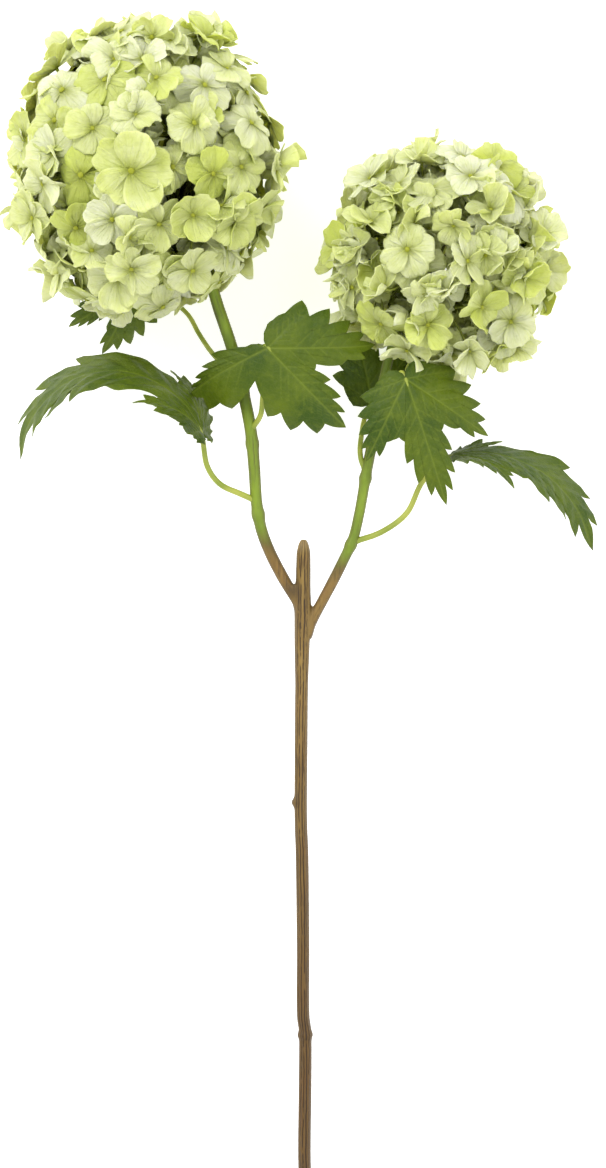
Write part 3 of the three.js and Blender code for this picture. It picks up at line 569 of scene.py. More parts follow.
class Wood:
    """One stem or branch: its plain tube, and the grain that runs along it."""

    def __init__(self, route, taper, collars, ridges, seed, steps=560):
        self.points = route_points(route, steps)
        self.radii = np.interp(np.linspace(0, 1, steps), *zip(*taper))
        self.collars, self.ridges, self.steps = collars, ridges, steps
        self.drift = wander(seed, 3, 4, 16)
        self.swell = wander(seed + 1, 4, 20, 60)
        self.strength = wander(seed + 2, 4, 12, 50)
        self.tangent = unit(np.gradient(self.points, axis=0))
        across = np.array([1.0, 0, 0])
        self.side = unit(across - (self.tangent @ across)[:, None] * self.tangent)
        self.up = np.cross(self.side, self.tangent)
        self.tree = KDTree(steps)
        for number, point in enumerate(self.points):
            self.tree.insert(point, number)
        self.tree.balance()

    def plain(self):
        """Points and faces of the tube with its collars, before any grain."""
        return tube(self.points, self.radii, WOOD_SIDES, self.swellings)[:2]

    def swellings(self, along, angle):
        total = np.zeros_like(along)
        for at, size, reach, facing in self.collars:
            here = size * np.exp(-(((along - at) / reach) ** 2))
            if facing is not None:
                here = here * np.clip(np.cos(angle - facing), 0, 1) ** 2
            total += here
        return total

    def nearest(self, points):
        """Each point's share of the length, angle round the tube and height above its surface."""
        index = np.array([self.tree.find(point)[1] for point in points])
        offset = points - self.points[index]
        angle = np.arctan2((offset * self.up[index]).sum(1), (offset * self.side[index]).sum(1))
        along = index / (self.steps - 1)
        return along, angle, np.linalg.norm(offset, axis=1) - self.radii[index]

    def relief(self, along, angle):
        """Height of the grain: lengthwise ridges that wander, deepen and fade."""
        wave = np.cos(7 * angle + 2.2 * self.drift(along))
        wave += 0.7 * np.cos(12 * angle - 3 * self.drift(along * 1.3 + 2))
        wave = wave * (0.7 + 0.5 * self.strength(along))
        return self.ridges * (wave + 0.4 * self.swell(along + 0.02 * angle))


def build_wood(material, wire):
    woods = {
        "stem": Wood(on_route(STEM_ROUTE, STEM_SLOPE), STEM_TAPER, STEM_COLLARS, 0.085, 3),
        "left": Wood(on_route(LEFT_ROUTE, LEFT_SLOPE), LEFT_TAPER, LEFT_COLLARS, 0.045, 21),
        "right": Wood(on_route(RIGHT_ROUTE, RIGHT_SLOPE), RIGHT_TAPER, RIGHT_COLLARS, 0.045, 33),
    }
    plain = Parts([])
    for wood in woods.values():
        plain.add(*wood.plain())
    for line, radius in WEBS.values():
        web = route_points(on_route(line, STEM_SLOPE), 12)
        plain.add(*tube(web, [radius] * len(web), 24)[:2])
    points, faces = fuse(plain, WOOD_GRID)
    points = smooth(points, faces, np.full(len(points), 0.5), 3)
    nearness = np.exp(-(np.linalg.norm(points[:, :2] - FORK_CENTRE, axis=1) / FORK_REACH) ** 4)
    points = smooth(points, faces, FORK_SHARE * nearness, FORK_ROUNDS)
    weights, fields = [], []
    for name, wood in woods.items():
        along, angle, above = wood.nearest(points)
        relief = wood.relief(along, angle)
        # painted shade: the deepest grooves of the grain are darkened
        groove = np.clip(-0.9 - relief / wood.ridges, 0, 1)
        if name == "stem":
            around = (angle - UPPER_SIDE) * STEM_RADIUS  # millimetres from the upper side
        green = fade(points[:, 1], GREEN_FROM[name], GREEN_OVER)
        # painted shade on the sides of each tube, strongest where the surface faces furthest sideways
        flank = np.abs(np.cos(angle)) ** 3
        weights.append(np.exp(-BLEND_RATE * np.clip(above, *BLEND_RANGE)))
        fields.append((relief, groove, green, flank))
    weights = np.array(weights) / np.sum(weights, axis=0)
    relief, groove, green, flank = [
        sum(weight * values[k] for weight, values in zip(weights, fields)) for k in range(4)
    ]
    # painted shade in the crotch where the left branch leaves the stem
    from_crotch = (points[:, :2] - CROTCH_SHADE_AT) / CROTCH_SHADE_REACH
    groove = groove + CROTCH_SHADE_DEPTH * np.exp(-(from_crotch**2).sum(axis=1))
    points = points + point_normals(points, faces) * relief[:, None]
    points[:, 2] = np.maximum(points[:, 2], LOWEST_WOOD)
    pale = 0.6 * fade(points[:, 1], *PALE_TIP) * weights[0] + fade(points[:, 1], *PALE_CUT)
    parts = Parts(["green", "groove", "flank", "high", "around", "stem", "pale"])
    parts.add(
        points, faces, 0,
        green=green, groove=groove, flank=flank, high=fade(points[:, 1], *TAN), around=around,
        stem=weights[0], pale=np.clip(pale, 0, 1),
    )
    start, inward = woods["stem"].points[0], woods["stem"].tangent[0]
    wire_points = [start + inward * reach for reach in WIRE_REACHES]
    parts.add(*tube(wire_points, [WIRE_RADIUS] * len(wire_points), 16)[:2], 1)
    replaced = ["main_stem", "left_branch", "right_branch"]
    parts.piece("stem_and_branches", [material, wire], "bark", replaced)


# ------------ leaf stalks
PETIOLE_STEPS = 70
PETIOLES = {  # route of each stalk and its radius
    "left_arching": ([(-16.8, 30, 35.2), (-22.4, 32.4, 37), (-29.8, 35.9, 39.6), (-34.4, 42.4, 42)], 1.05),
    "left_low": (
        [
            (-22.4, 73, 40), (-27.5, 77.5, 38.4), (-33, 83.6, 35), (-37.6, 90.4, 30),
            (-41.6, 97.5, 25.6), (-49.5, 104.4, 22.4),
        ],
        0.9,
    ),
    "middle": ([(-18.7, 55.4, 38), (-15.2, 60.6, 43), (-14.4, 67, 48), (-13.6, 76, 52.4)], 0.95),
    "hanging": ([(27.6, 66, 37.4), (30.4, 68.6, 42), (33.4, 71.6, 47.5), (35, 75.5, 51)], 0.95),
    "right_low": ([(22.6, 40.4, 33.8), (20.7, 46, 33.8), (21.2, 54.4, 31), (22.6, 61, 27)], 0.95),
    "right_arching": ([(17.5, 15, 32.1), (28.4, 18.8, 31.6), (37.4, 25.6, 31), (43.2, 37, 31.4)], 1.05),
}


def build_petiole(name, leaf, skin):
    route, thick = PETIOLES[name]
    along_leaf, _, up = leaf_axes(leaf)
    under = np.array(leaf["at"]) - up * 0.75
    path = [*route, under - along_leaf * 1.6, under + along_leaf * 4]
    points = route_points(path, PETIOLE_STEPS)
    keys = [(0, thick * 1.5), (0.06, thick * 1.05), (0.8, thick * 0.9), (0.93, thick * 0.75), (1, 0.3)]
    radii = np.interp(np.linspace(0, 1, PETIOLE_STEPS), *zip(*keys))
    bend = wander(len(name) * 7 + 1, 3, 8, 30)
    shell, faces, along = tube(points, radii, 16, lambda a, t: 0.05 * bend(a) * np.cos(3 * t + 2 * a))
    parts = Parts(["along"])
    parts.add(shell, faces, 0, along=along)
    parts.piece(f"petiole_{name}", [skin], "petiole", [f"petiole_{name}"])


# ------------ leaves
LOBE_EDGE = [(3, 0.84), (6, 0.9), (7.6, 0.73), (12, 0.79), (13.6, 0.6), (18.6, 0.64), (20.5, 0.47)]
INNER_EDGE = [(4, 0.83), (8, 0.88), (10, 0.7), (15.5, 0.66)]
OUTER_EDGE = [
    (4, 0.83), (9, 0.9), (11, 0.71), (19, 0.79), (22, 0.58), (34, 0.66), (38, 0.46), (56, 0.52), (65, 0.34),
]
OUTER_FAN = 65.0  # degrees that the listed outer edge spreads over
HEEL = [(138, 0.2), (160, 0.09)]
NOTCH = 0.016
HEEL_VEIN = 46  # degrees from a side lobe's vein to the short one at the leaf's heel
# Where each leaf starts, the ways it points and faces, its length, its two side lobes, then how it
# turns, rolls, folds, waves and twists. A side lobe is its angle, its length, the angle of the notch
# before it and that notch's share of the leaf's length. Its outer edge ends by flare degrees.
LEAF_FIELDS = (
    "at", "heading", "face", "length", "left", "right", "turn", "roll", "fold", "wave", "waves",
    "phase", "twist", "flare",
)
LEAF_VALUES = {
    "left_arching": ((-36.2, 54.6, 44), (-0.4, 0.91, 0.02), (0.84, 0.42, 0.3), 93,
        (38, 32, 23, 0.36), (38, 34, 23, 0.36), 152, 26, 0.03, 3.4, 3, 0.9, -46, 84),
    "left_low": ((-59, 109, 20), (-0.87, -0.5, -0.1), (-0.1, -0.1, 1), 32,
        (30, 31, 16, 0.4), (50, 24, 28, 0.4), 24, 40, 0.08, 1.2, 3, 1.1, 0, 90),
    "middle": ((-12.6, 84, 55), (0.68, -0.72, 0.1), (0.05, -0.22, 1), 40,
        (46, 42, 27, 0.46), (108, 42, 66, 0.32), 30, 34, 0.02, 2.4, 4, 2.2, 0, 132),
    "hanging": ((36.6, 73, 53), (0.32, -0.94, 0.16), (0, 0.12, 1), 48,
        (38, 38, 22, 0.44), (44, 34, 25, 0.44), 34, 40, -0.04, 1.8, 3, 0.2, 0, 98),
    "right_low": ((25, 66, 24), (0.6, 0.8, -0.1), (0.05, 0.15, 1), 36,
        (48, 35, 27, 0.5), (30, 41, 17, 0.5), 18, 30, 0.06, 1.4, 3, 2.9, 0, 98),
    "right_arching": ((52.6, 46.2, 33), (0.96, 0.24, 0.02), (-0.24, 0.95, 0.2), 70,
        (34, 24, 22, 0.34), (36, 32, 22, 0.36), 98, 26, 0.03, 3, 3, 0.4, 44, 78),
}
LEAVES = {name: dict(zip(LEAF_FIELDS, values)) for name, values in LEAF_VALUES.items()}


def leaf_axes(leaf):
    along = unit(leaf["heading"])
    across = unit(np.cross(leaf["face"], along))
    return along, across, np.cross(along, across)


def leaf_outline(leaf):
    """Outline corners as (angle in degrees, reach), anticlockwise from the notch at the stalk."""

    def side(lobe, hand):
        angle, length, sinus, web = lobe
        spread = min(1, (leaf["flare"] - angle) / OUTER_FAN)
        edge = [(off, reach * length) for off, reach in sorted(HEEL, reverse=True)]
        edge += [(angle + off * spread, reach * length) for off, reach in reversed(OUTER_EDGE)]
        edge.append((angle, length))
        squeeze = (angle - sinus) / 21
        edge += [(angle - off * squeeze, reach * length) for off, reach in INNER_EDGE]
        edge.append((sinus, web * leaf["length"]))
        edge += [(off * sinus / 27, reach * leaf["length"]) for off, reach in reversed(LOBE_EDGE)]
        return [(hand * a, r) for a, r in edge]

    right = side(leaf["right"], -1)
    left = side(leaf["left"], 1)[::-1]
    return [(-180, NOTCH * leaf["length"]), *right, (0, leaf["length"]), *left]


def fine_outline(leaf, steps=6, bulge=0.05):
    """The outline as points, with each straight edge bowed out a little between its corners."""
    turn, reach = np.array(leaf_outline(leaf)).T
    corners = np.column_stack([reach * np.cos(np.radians(turn)), reach * np.sin(np.radians(turn))])
    after = np.roll(corners, -1, axis=0)
    share = np.arange(steps)[:, None] / steps
    fine = []
    for start, end in zip(corners, after):
        edge = end - start
        outward = np.array([edge[1], -edge[0]])
        fine.append(start + share * edge + bulge * np.sin(math.pi * share) * outward)
    return np.vstack(fine)


def leaf_veins(leaf):
    """Vein lines as (start, end, half width): one main vein per lobe, with side veins."""
    left, left_length = leaf["left"][:2]
    right, right_length = leaf["right"][:2]
    lobes = [(0, leaf["length"]), (left, left_length), (-right, right_length)]
    lobes += [(left + HEEL_VEIN, left_length * 0.5), (-right - HEEL_VEIN, right_length * 0.5)]
    veins = []
    for number, (angle, length) in enumerate(lobes):
        way = np.array([math.cos(math.radians(angle)), math.sin(math.radians(angle))])
        veins.append((np.zeros(2), way * length * 0.98, 0.55 if number < 3 else 0.4))
        count = 7 if number == 0 else 5
        for k in range(count):
            at = 0.2 + 0.68 * k / count
            for hand in (-1, 1):
                lean = math.radians(angle + hand * 44)
                start = way * length * (at + 0.03 * hand)
                reach = length * 0.42 * (1 - at) * (1 if number == 0 else 0.8)
                end = start + reach * np.array([math.cos(lean), math.sin(lean)])
                veins.append((start, end, 0.34))
    return veins


def vein_fields(veins, flat):
    """Depth of the veins and the distance to the nearest one, at each flat point."""
    depth = np.zeros(len(flat))
    nearest = np.full(len(flat), 99.0)
    for start, end, half in veins:
        line = end - start
        share = np.clip(((flat - start) @ line) / (line @ line), 0, 1)
        distance = np.linalg.norm(flat - start - share[:, None] * line, axis=1)
        width = half * (1 - 0.6 * share)
        depth = np.maximum(depth, (half / 0.55) * np.exp(-((distance / width) ** 2)))
        nearest = np.minimum(nearest, distance)
    return depth, nearest


def bend_leaf(leaf, flat, lift):
    """Bends flat leaf points, as the CAD does: arched and twisted along the midrib, rolled across it."""
    u, v = flat[:, 0], flat[:, 1]
    length = leaf["length"]
    wide = length * 0.6
    twist = math.radians(leaf["twist"]) * u / length
    across = v * np.cos(twist)
    roll = math.radians(leaf["roll"]) * across / wide
    turn = math.radians(leaf["turn"]) * u / length
    reach = np.hypot(u, v) / length
    wave = leaf["wave"] * reach**2 * np.sin(leaf["waves"] * np.arctan2(v, u) + leaf["phase"])
    fold = leaf["fold"] * (np.hypot(v, 1.5) - 1.5)
    roll_radius = wide / math.radians(leaf["roll"])
    turn_radius = length / math.radians(leaf["turn"])
    height = fold + wave + v * np.sin(twist) + lift - roll_radius * (1 - np.cos(roll))
    bent = np.column_stack([
        (turn_radius + height) * np.sin(turn),
        roll_radius * np.sin(roll),
        height * np.cos(turn) - turn_radius * (1 - np.cos(turn)),
    ])
    return np.array(leaf["at"]) + bent @ np.vstack(leaf_axes(leaf))


LEAF_RINGS = 60
CLOTH_HALF = 0.16


def build_leaf(name, leaf, material, seed):
    outline = fine_outline(leaf)
    around = len(outline)
    shares = np.linspace(0, 1, LEAF_RINGS + 1)[1:]
    flat = (shares[:, None, None] * outline[None]).reshape(-1, 2)
    flat = np.vstack([flat, [[0.0, 0.0]]])
    share = np.concatenate([np.repeat(shares, around), [0.0]])
    depth, nearest = vein_fields(leaf_veins(leaf), flat)
    puff = 0.45 * (1 - np.exp(-((nearest / 2.6) ** 2))) * (leaf["length"] / 50)
    own = np.random.default_rng(seed)
    ripple = np.zeros(len(flat))
    for _ in range(7):
        way = own.uniform(0, 2 * math.pi)
        rate = own.uniform(0.12, 0.34)
        phase = own.uniform(0, 2 * math.pi)
        ripple += np.sin(rate * (flat @ np.array([math.cos(way), math.sin(way)])) + phase)
    ripple *= 0.28 * share**1.5
    rim_wave = 0.7 * share**6 * np.sin(np.arctan2(flat[:, 1], flat[:, 0]) * 23 + seed)
    shape = puff + ripple + rim_wave
    thin = CLOTH_HALF * np.sqrt(np.clip(1.0001 - share**8, 0, 1)) + 0.03
    top = bend_leaf(leaf, flat, shape - 0.3 * depth + thin)
    bottom = bend_leaf(leaf, flat, shape - 0.42 * depth - thin)
    count = len(flat)
    faces = grid_faces(LEAF_RINGS, around, turned_over=True) + grid_faces(LEAF_RINGS, around, count)
    faces += fan(count - 1, 0, around) + fan(2 * count - 1, count, around, turned_over=True)
    rim = (LEAF_RINGS - 1) * around
    for k in range(rim, rim + around):
        after = rim + (k + 1 - rim) % around
        faces.append((k, count + k, count + after, after))
    parts = Parts(["vein", "rim", "back"])
    edge = fade(share, 0.965, 0.035)
    parts.add(
        np.vstack([top, bottom]), faces, 0,
        vein=np.tile(depth, 2), rim=np.tile(edge, 2), back=np.repeat([0.0, 1.0], count),
    )
    parts.piece(f"leaf_{name}", [material], "leaf", [f"leaf_{name}"])


# ------------ flower heads
# squeeze pulls the drawn florets towards the head's middle, because their petals spread past the CAD's.
HEADS = {
    "left": dict(
        centre=(-56, 148.5, 47.5), radius=54, hub=(-45.4, 131.6, 46.4), clusters=18, seed=11,
        squeeze=(0.93, 0.98, 0.96),
    ),
    "right": dict(
        centre=(49.6, 117, 39.5), radius=44, hub=(45.6, 108.6, 38.2), clusters=14, seed=29,
        squeeze=(0.93, 0.95, 0.96),
    ),
}
RAY_REACH = 0.46
RAY_STEPS = 14
RAY_SIDES = 8
STEM_CLEARANCE = math.radians(38)
HUB_VALENCE = 15  # in the CAD a floret's middle is the only point with this many neighbours


def knot_places(head):
    """Where the rays end, in the CAD's order."""
    count = head["clusters"]
    centre = np.array(head["centre"], float)
    stem_way = unit(np.array(head["hub"]) - centre)
    golden = math.pi * (3 - math.sqrt(5))
    places = []
    for i in range(count):
        z = 1 - (2 * i + 1) / count
        flat = math.sqrt(1 - z * z)
        angle = golden * i + head["seed"]
        way = np.array([flat * math.cos(angle), flat * math.sin(angle), z])
        if math.acos(np.clip(way @ stem_way, -1, 1)) > STEM_CLEARANCE:
            places.append(centre + way * head["radius"] * RAY_REACH * (1.06 if i % 2 else 0.94))
    return places


def read_florets(node):
    """Each floret of a CAD cluster as its middle and its rim: 5 petals of notch, shoulder, shoulder."""
    mesh = node.data
    raw = np.empty(len(mesh.vertices) * 3)
    mesh.vertices.foreach_get("co", raw)
    merged, index = np.unique(np.round(to_plant(raw.reshape(-1, 3)), 2), axis=0, return_inverse=True)
    index = index.reshape(-1)
    neighbours = [set() for _ in merged]
    for polygon in mesh.polygons:
        ring = [int(index[i]) for i in polygon.vertices]
        for a, b in zip(ring, ring[1:] + ring[:1]):
            if a != b:
                neighbours[a].add(b)
                neighbours[b].add(a)
    florets = []
    for i, near in enumerate(neighbours):
        if len(near) != HUB_VALENCE:
            continue
        order = [min(near)]
        while len(order) < HUB_VALENCE:
            nexts = [n for n in neighbours[order[-1]] if n in near and n not in order]
            if not nexts:
                break
            order.append(nexts[0])
        if len(order) < HUB_VALENCE:
            continue
        rim = merged[order]
        reach = np.linalg.norm(rim - merged[i], axis=1)
        start = int(np.argmin([reach[k::3].mean() for k in range(3)]))
        florets.append((merged[i], np.roll(rim, -start, axis=0).reshape(5, 3, 3)))
    return florets


PETAL_ROWS = 13
PETAL_COLUMNS = 13
PETAL_HALF = 0.1  # half the cloth's thickness, drawn a little thick so that its edge shows
FLOOR_CLEARANCE = 0.05  # petals that reach the floor lie pressed against it
OPEN_RADIUS = 9.5  # bigger florets face out flatter, as the largest ones do
OPEN_CALM = 0.45
FLORET_LEAN = 27  # degrees by which a floret leans off the CAD's axis, as a spread
PETAL_LIFT = 16  # degrees by which a petal lifts off its floret's own lift, as a spread
STALK_STEPS = 12
STALK_SIDES = 6


def turned(vectors, axis, angle):
    """Vectors turned about an axis, by Rodrigues' formula."""
    along = np.outer(vectors @ axis, axis) * (1 - math.cos(angle))
    return vectors * math.cos(angle) + np.cross(axis, vectors) * math.sin(angle) + along


def petal_sheet(middle, way, across, reach, half, pose, own):
    """One petal: rounded, cupped, curled and crinkled, as a thin closed sheet."""
    up = np.cross(way, across)
    s = np.linspace(0, 1, PETAL_ROWS)[:, None] ** 0.9
    c = np.linspace(-1, 1, PETAL_COLUMNS)[None, :]
    belly = own.uniform(0.64, 0.74)
    crown = own.uniform(1.0, 1.1) - belly
    dent = own.uniform(0, 0.09)
    far = belly + crown * (1 - np.abs(c) ** 2.3) ** 0.5 - dent * np.exp(-((c / 0.3) ** 2))
    fray = own.normal(0, 0.01, (PETAL_ROWS, PETAL_COLUMNS))
    lobed = 0.018 * np.sin(c * own.uniform(6, 11) + own.uniform(0, 6))
    forward = reach * s * (far + (fray + lobed) * s**6)
    widening = 0.14 + 0.86 * np.sin(math.pi / 2 * s**0.95)
    skew = own.normal(0, 0.07)
    sideways = half * (c * widening * (1 + fray * (np.abs(c) > 0.99)) + skew * s**2)
    cup, curl, tilt = pose
    edge = own.uniform(0.02, 0.06) * np.sin(c * own.uniform(3, 7) + own.uniform(0, 6)) * s**2
    edge = edge + own.uniform(0.01, 0.03) * np.sin(c * own.uniform(8, 14) + own.uniform(0, 6)) * s**3
    pleats = 0.012 * np.sin(c * 17 + own.uniform(0, 6)) * np.sin(math.pi * s**0.7)
    crease = -own.uniform(0.03, 0.09) * np.exp(-((c / 0.14) ** 2)) * np.sin(math.pi * s**0.8)
    arch = own.uniform(0.0, 0.3) * s * (1 - s)
    lip = own.normal(0, 0.1) * np.abs(c) ** 4 * s
    lift = arch + cup * c**2 * s + curl * np.clip(s - 0.5, 0, 1) ** 2 + tilt * c * s
    lift = lift + edge + pleats + crease + lip
    surface = middle + way * forward[..., None] + across * sideways[..., None]
    surface = surface + up * (reach * lift)[..., None]
    normal = unit(np.cross(np.gradient(surface, axis=1), np.gradient(surface, axis=0)) + 1e-9 * up)
    if (normal @ up).mean() < 0:
        normal = -normal
    sheet = np.stack([surface + normal * PETAL_HALF, surface - normal * PETAL_HALF])
    pressed = np.array([FLOOR_CLEARANCE, FLOOR_CLEARANCE + 2 * PETAL_HALF])
    if normal[0, 0, 2] >= 0:
        pressed = pressed[::-1]
    sheet[..., 2] = np.maximum(sheet[..., 2], pressed[:, None, None])
    uv = np.stack(np.broadcast_arrays(c * 0.5 + 0.5, s), axis=-1)
    reach_field = np.broadcast_to(s, surface.shape[:2])
    return sheet.reshape(-1, 3), np.tile(uv.reshape(-1, 2), (2, 1)), np.tile(reach_field.ravel(), 2), up


def sheet_faces(rows, columns):
    """Faces of a closed thin sheet: an upper grid, a lower grid and the strip round their edge."""
    count = rows * columns
    faces = grid_faces(rows, columns, closed=False)
    faces += grid_faces(rows, columns, count, closed=False, turned_over=True)
    border = list(range(columns))
    border += [i * columns + columns - 1 for i in range(1, rows)]
    border += [(rows - 1) * columns + k for k in range(columns - 2, -1, -1)]
    border += [i * columns for i in range(rows - 2, 0, -1)]
    for a, b in zip(border, border[1:] + border[:1]):
        faces.append((b, a, count + a, count + b))
    return faces


PETAL_FACES = sheet_faces(PETAL_ROWS, PETAL_COLUMNS)
PETAL_FACES_TURNED = [face[::-1] for face in PETAL_FACES]


def dome(centre, up, radius, height, sides=10, rings=4):
    """A small rounded boss, closed underneath."""
    reference = np.array([1.0, 0, 0]) if abs(up[0]) < 0.8 else np.array([0, 1.0, 0])
    side = unit(np.cross(up, reference))
    other = np.cross(up, side)
    points = [centre + up * height]
    for ring in range(1, rings + 1):
        lean = math.pi / 2 * ring / rings
        for k in range(sides):
            turn = 2 * math.pi * k / sides
            out = math.cos(turn) * side + math.sin(turn) * other
            points.append(centre + up * height * math.cos(lean) + out * radius * math.sin(lean))
    points.append(centre - up * height * 0.4)
    faces = grid_faces(rings, sides, first=1, turned_over=True)
    faces += fan(0, 1, sides)
    faces += fan(len(points) - 1, 1 + (rings - 1) * sides, sides, turned_over=True)
    return points, faces


def add_floret(parts, middle, rim, knot, own):
    """Five petals on a stalk, on a CAD floret's middle and rim."""
    shoulders = rim[:, 1:]
    radius = np.linalg.norm(shoulders.reshape(-1, 3) - middle, axis=1).mean()
    ring = rim.reshape(-1, 3) - middle
    axis = unit(np.cross(ring, np.roll(ring, -1, axis=0)).sum(axis=0))
    if axis @ (middle - knot) < 0:
        axis = -axis
    calm = OPEN_CALM if radius > OPEN_RADIUS else 1.0  # scales how far its petals stray
    lean_way = unit(np.cross(axis, own.normal(0, 1, 3)))
    lean = math.radians(own.normal(0, FLORET_LEAN)) * calm
    axis = turned(axis[None], lean_way, lean)[0]
    raise_all = own.normal(8, 18) * calm
    cup_all, curl_all = own.normal(0.08, 0.22) * calm, own.normal(-0.1, 0.6) * calm
    tone = float(np.clip(own.normal(0.42, 0.24), 0.02, 0.98))
    for left, right in shoulders:
        spokes = turned(np.array([left, right]) - middle, lean_way, lean)
        way = unit(spokes.sum(axis=0))
        across = unit(spokes[1] - spokes[0] - ((spokes[1] - spokes[0]) @ way) * way)
        facing = 1.0 if np.cross(way, across) @ axis > 0 else -1.0
        lift = math.radians(raise_all + own.normal(0, PETAL_LIFT) * calm) * facing
        way = way * math.cos(lift) + np.cross(way, across) * math.sin(lift)
        reach = np.linalg.norm(spokes.mean(axis=0)) * own.uniform(1.02, 1.2)
        half = np.linalg.norm(spokes[1] - spokes[0]) * own.uniform(0.54, 0.64)
        pose = [
            facing * (cup_all + own.normal(0, 0.16) * calm),
            facing * (curl_all + own.normal(0, 0.45) * calm),
            own.normal(0, 0.2) * calm,
        ]
        sheet, uv, share, up = petal_sheet(middle, way, across, reach, half, pose, own)
        faces = PETAL_FACES if up @ axis < 0 else PETAL_FACES_TURNED
        parts.add(sheet, faces, 0, uv, tone=tone + own.uniform(-0.1, 0.1), reach=share)
    boss, boss_faces = dome(middle + axis * 0.12, axis, 0.075 * radius + 0.25, 0.55)
    parts.add(boss, boss_faces, 0, boss=1.0, reach=0.0, tone=tone)
    foot = knot + unit(middle - knot) * 0.8
    neck = middle - axis * 1.4
    bow = own.normal(0, 0.6, 3)
    points = route_points([foot, (foot + neck) / 2 + bow, neck, middle - axis * 0.05], STALK_STEPS)
    radii = np.interp(np.linspace(0, 1, STALK_STEPS), [0, 0.8, 1], [0.48, 0.4, 0.7])
    parts.add(*tube(points, radii, STALK_SIDES)[:2], 1)


FILLER_SHARE = 1.1  # inner florets for each one the CAD has
FILLER_DEPTH = (0.62, 0.98)  # how far out from the knot they sit, against their neighbours
FILLER_TURN = 42  # degrees, as a spread
FILLER_SIZE = (0.75, 0.95)
FILLER_HEIGHT = 3.0  # none is drawn lower than this above the floor


def add_fillers(parts, florets, knot, own):
    """Smaller florets between and below a cluster's own ones, as the gaps in the real head show."""
    for _ in range(round(FILLER_SHARE * len(florets))):
        first, second = own.integers(0, len(florets), 2)
        middle, rim = florets[first]
        other = florets[second][0]
        way = unit(unit(middle - knot) + own.uniform(0.2, 0.9) * unit(other - knot))
        reach = np.linalg.norm(middle - knot) * own.uniform(*FILLER_DEPTH)
        place = knot + way * reach
        spin_way = unit(own.normal(0, 1, 3))
        spin = math.radians(own.normal(0, FILLER_TURN))
        size = own.uniform(*FILLER_SIZE)
        spokes = turned((rim - middle).reshape(-1, 3), spin_way, spin)
        moved_rim = place + size * spokes.reshape(rim.shape)
        if moved_rim[..., 2].min() > FILLER_HEIGHT:
            add_floret(parts, place, moved_rim, knot, own)


def build_head(side, materials):
    head = HEADS[side]
    hub = np.array(head["hub"], float)
    knots = knot_places(head)
    own = np.random.default_rng(head["seed"])
    frame_parts = Parts([])
    for upward in (1.0, -1.0):
        half_ball = dome(hub, np.array([0, 0, upward]), 2.5, 2.4, 16, 6)
        frame_parts.add(*half_ball)
    for knot in knots:
        bow = own.normal(0, 0.05, 3) * np.linalg.norm(knot - hub)
        points = route_points([hub, (hub + knot) / 2 + bow, knot], RAY_STEPS)
        radii = np.interp(np.linspace(0, 1, RAY_STEPS), [0, 0.15, 0.9, 1], [1.4, 0.95, 0.8, 1.3])
        frame_parts.add(*tube(points, radii, RAY_SIDES)[:2])
    frame_parts.piece(f"{side}_umbel", [materials["ray"]], "ray", [f"{side}_umbel"])
    clusters = sorted(name for name in nodes if name.startswith(f"{side}_florets_"))
    total = 0
    for name, knot in zip(clusters, knots):
        parts = Parts(["tone", "reach", "boss"], with_uv=True)
        parts.add(*dome(knot, unit(knot - hub), 1.5, 1.5), 1)
        florets = []
        for middle, rim in read_florets(nodes[name]):
            inward = (np.array(head["squeeze"]) - 1) * (middle - head["centre"])
            florets.append((middle + inward, rim + inward))
        for middle, rim in florets:
            add_floret(parts, middle, rim, knot, own)
        add_fillers(parts, florets, knot, own)
        total += len(florets)
        skins = [materials["petal"], materials["stalk"]]
        parts.piece(name + "_petals", skins, "petal", [name], uv_name="petal")
    print(f"{side} head: {len(knots)} rays, {len(clusters)} clusters, {total} florets")


# ------------ floor, light and camera
VIEW_HEIGHT = 0.417  # how much of the plant the long side of the picture shows
CAMERA_UP = 1.7
LENS_PLANE = 0.05  # height at which VIEW_HEIGHT is true
SENSOR = 36.0


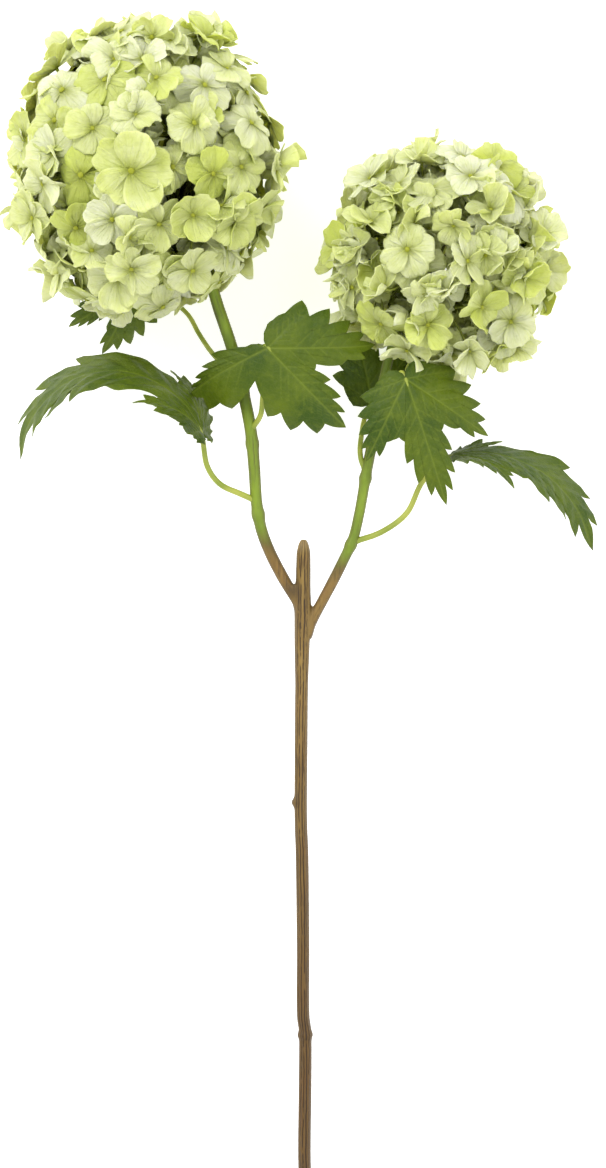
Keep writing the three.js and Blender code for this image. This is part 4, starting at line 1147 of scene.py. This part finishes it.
def build_stage():
    size = 6.0
    mesh = bpy.data.meshes.new("floor")
    corners = [(-size, -size, 0), (size, -size, 0), (size, size, 0), (-size, size, 0)]
    mesh.from_pydata(corners, [], [(0, 1, 2, 3)])
    g = Graph("floor")
    speck = g.noise(g.place(), 60.0, 3.0, 0.6)
    material = g.finish(
        Base_Color=g.mix(speck, FLOOR_GREY, FLOOR_WHITE), Roughness=0.9, Specular_IOR_Level=0.1,
        Emission_Color=(1.0, 1.0, 1.0, 1.0), Emission_Strength=0.55,
    )
    mesh.materials.append(material)
    floor = put("floor", mesh)


def soft_light(name, place, aim, size, power):
    data = bpy.data.lights.new(name, "AREA")
    data.shape = "DISK"
    data.size = size
    data.energy = power
    light = put(name, data)
    light.location = place
    light.rotation_euler = (Vector(place) - Vector(aim)).to_track_quat("Z", "Y").to_euler()


def build_lights():
    world = bpy.data.worlds.new("studio")
    bpy.context.scene.world = world
    world.use_nodes = True
    background = world.node_tree.nodes["Background"]
    background.inputs["Color"].default_value = (1.0, 1.0, 1.0, 1.0)
    background.inputs["Strength"].default_value = 0.8
    aim = (0, 0.05, 0.04)
    soft_light("key", (-0.7, 0.9, 1.3), aim, 1.1, 15.0)
    soft_light("fill", (1.0, -0.2, 1.4), aim, 1.4, 7.0)


def build_camera():
    data = bpy.data.cameras.new("camera")
    data.sensor_width = SENSOR
    data.lens = SENSOR * (CAMERA_UP - LENS_PLANE) / VIEW_HEIGHT
    camera = put("camera", data)
    camera.location = (ORIGIN[0] * MM, ORIGIN[1] * MM, CAMERA_UP)
    bpy.context.scene.camera = camera
    bpy.context.scene.view_settings.view_transform = "Standard"


# ------------ the whole spray
build_camera()
build_stage()
build_lights()
build_wood(wood_material(), wire_material())
petiole_skin = petiole_material()
leaf_face = leaf_material()
for number, (leaf_name, leaf_sizes) in enumerate(LEAVES.items()):
    build_petiole(leaf_name, leaf_sizes, petiole_skin)
    build_leaf(leaf_name, leaf_sizes, leaf_face, 40 + number)
head_materials = {"ray": ray_material(), "petal": petal_material(), "stalk": stalk_material()}
for head_side in HEADS:
    build_head(head_side, head_materials)
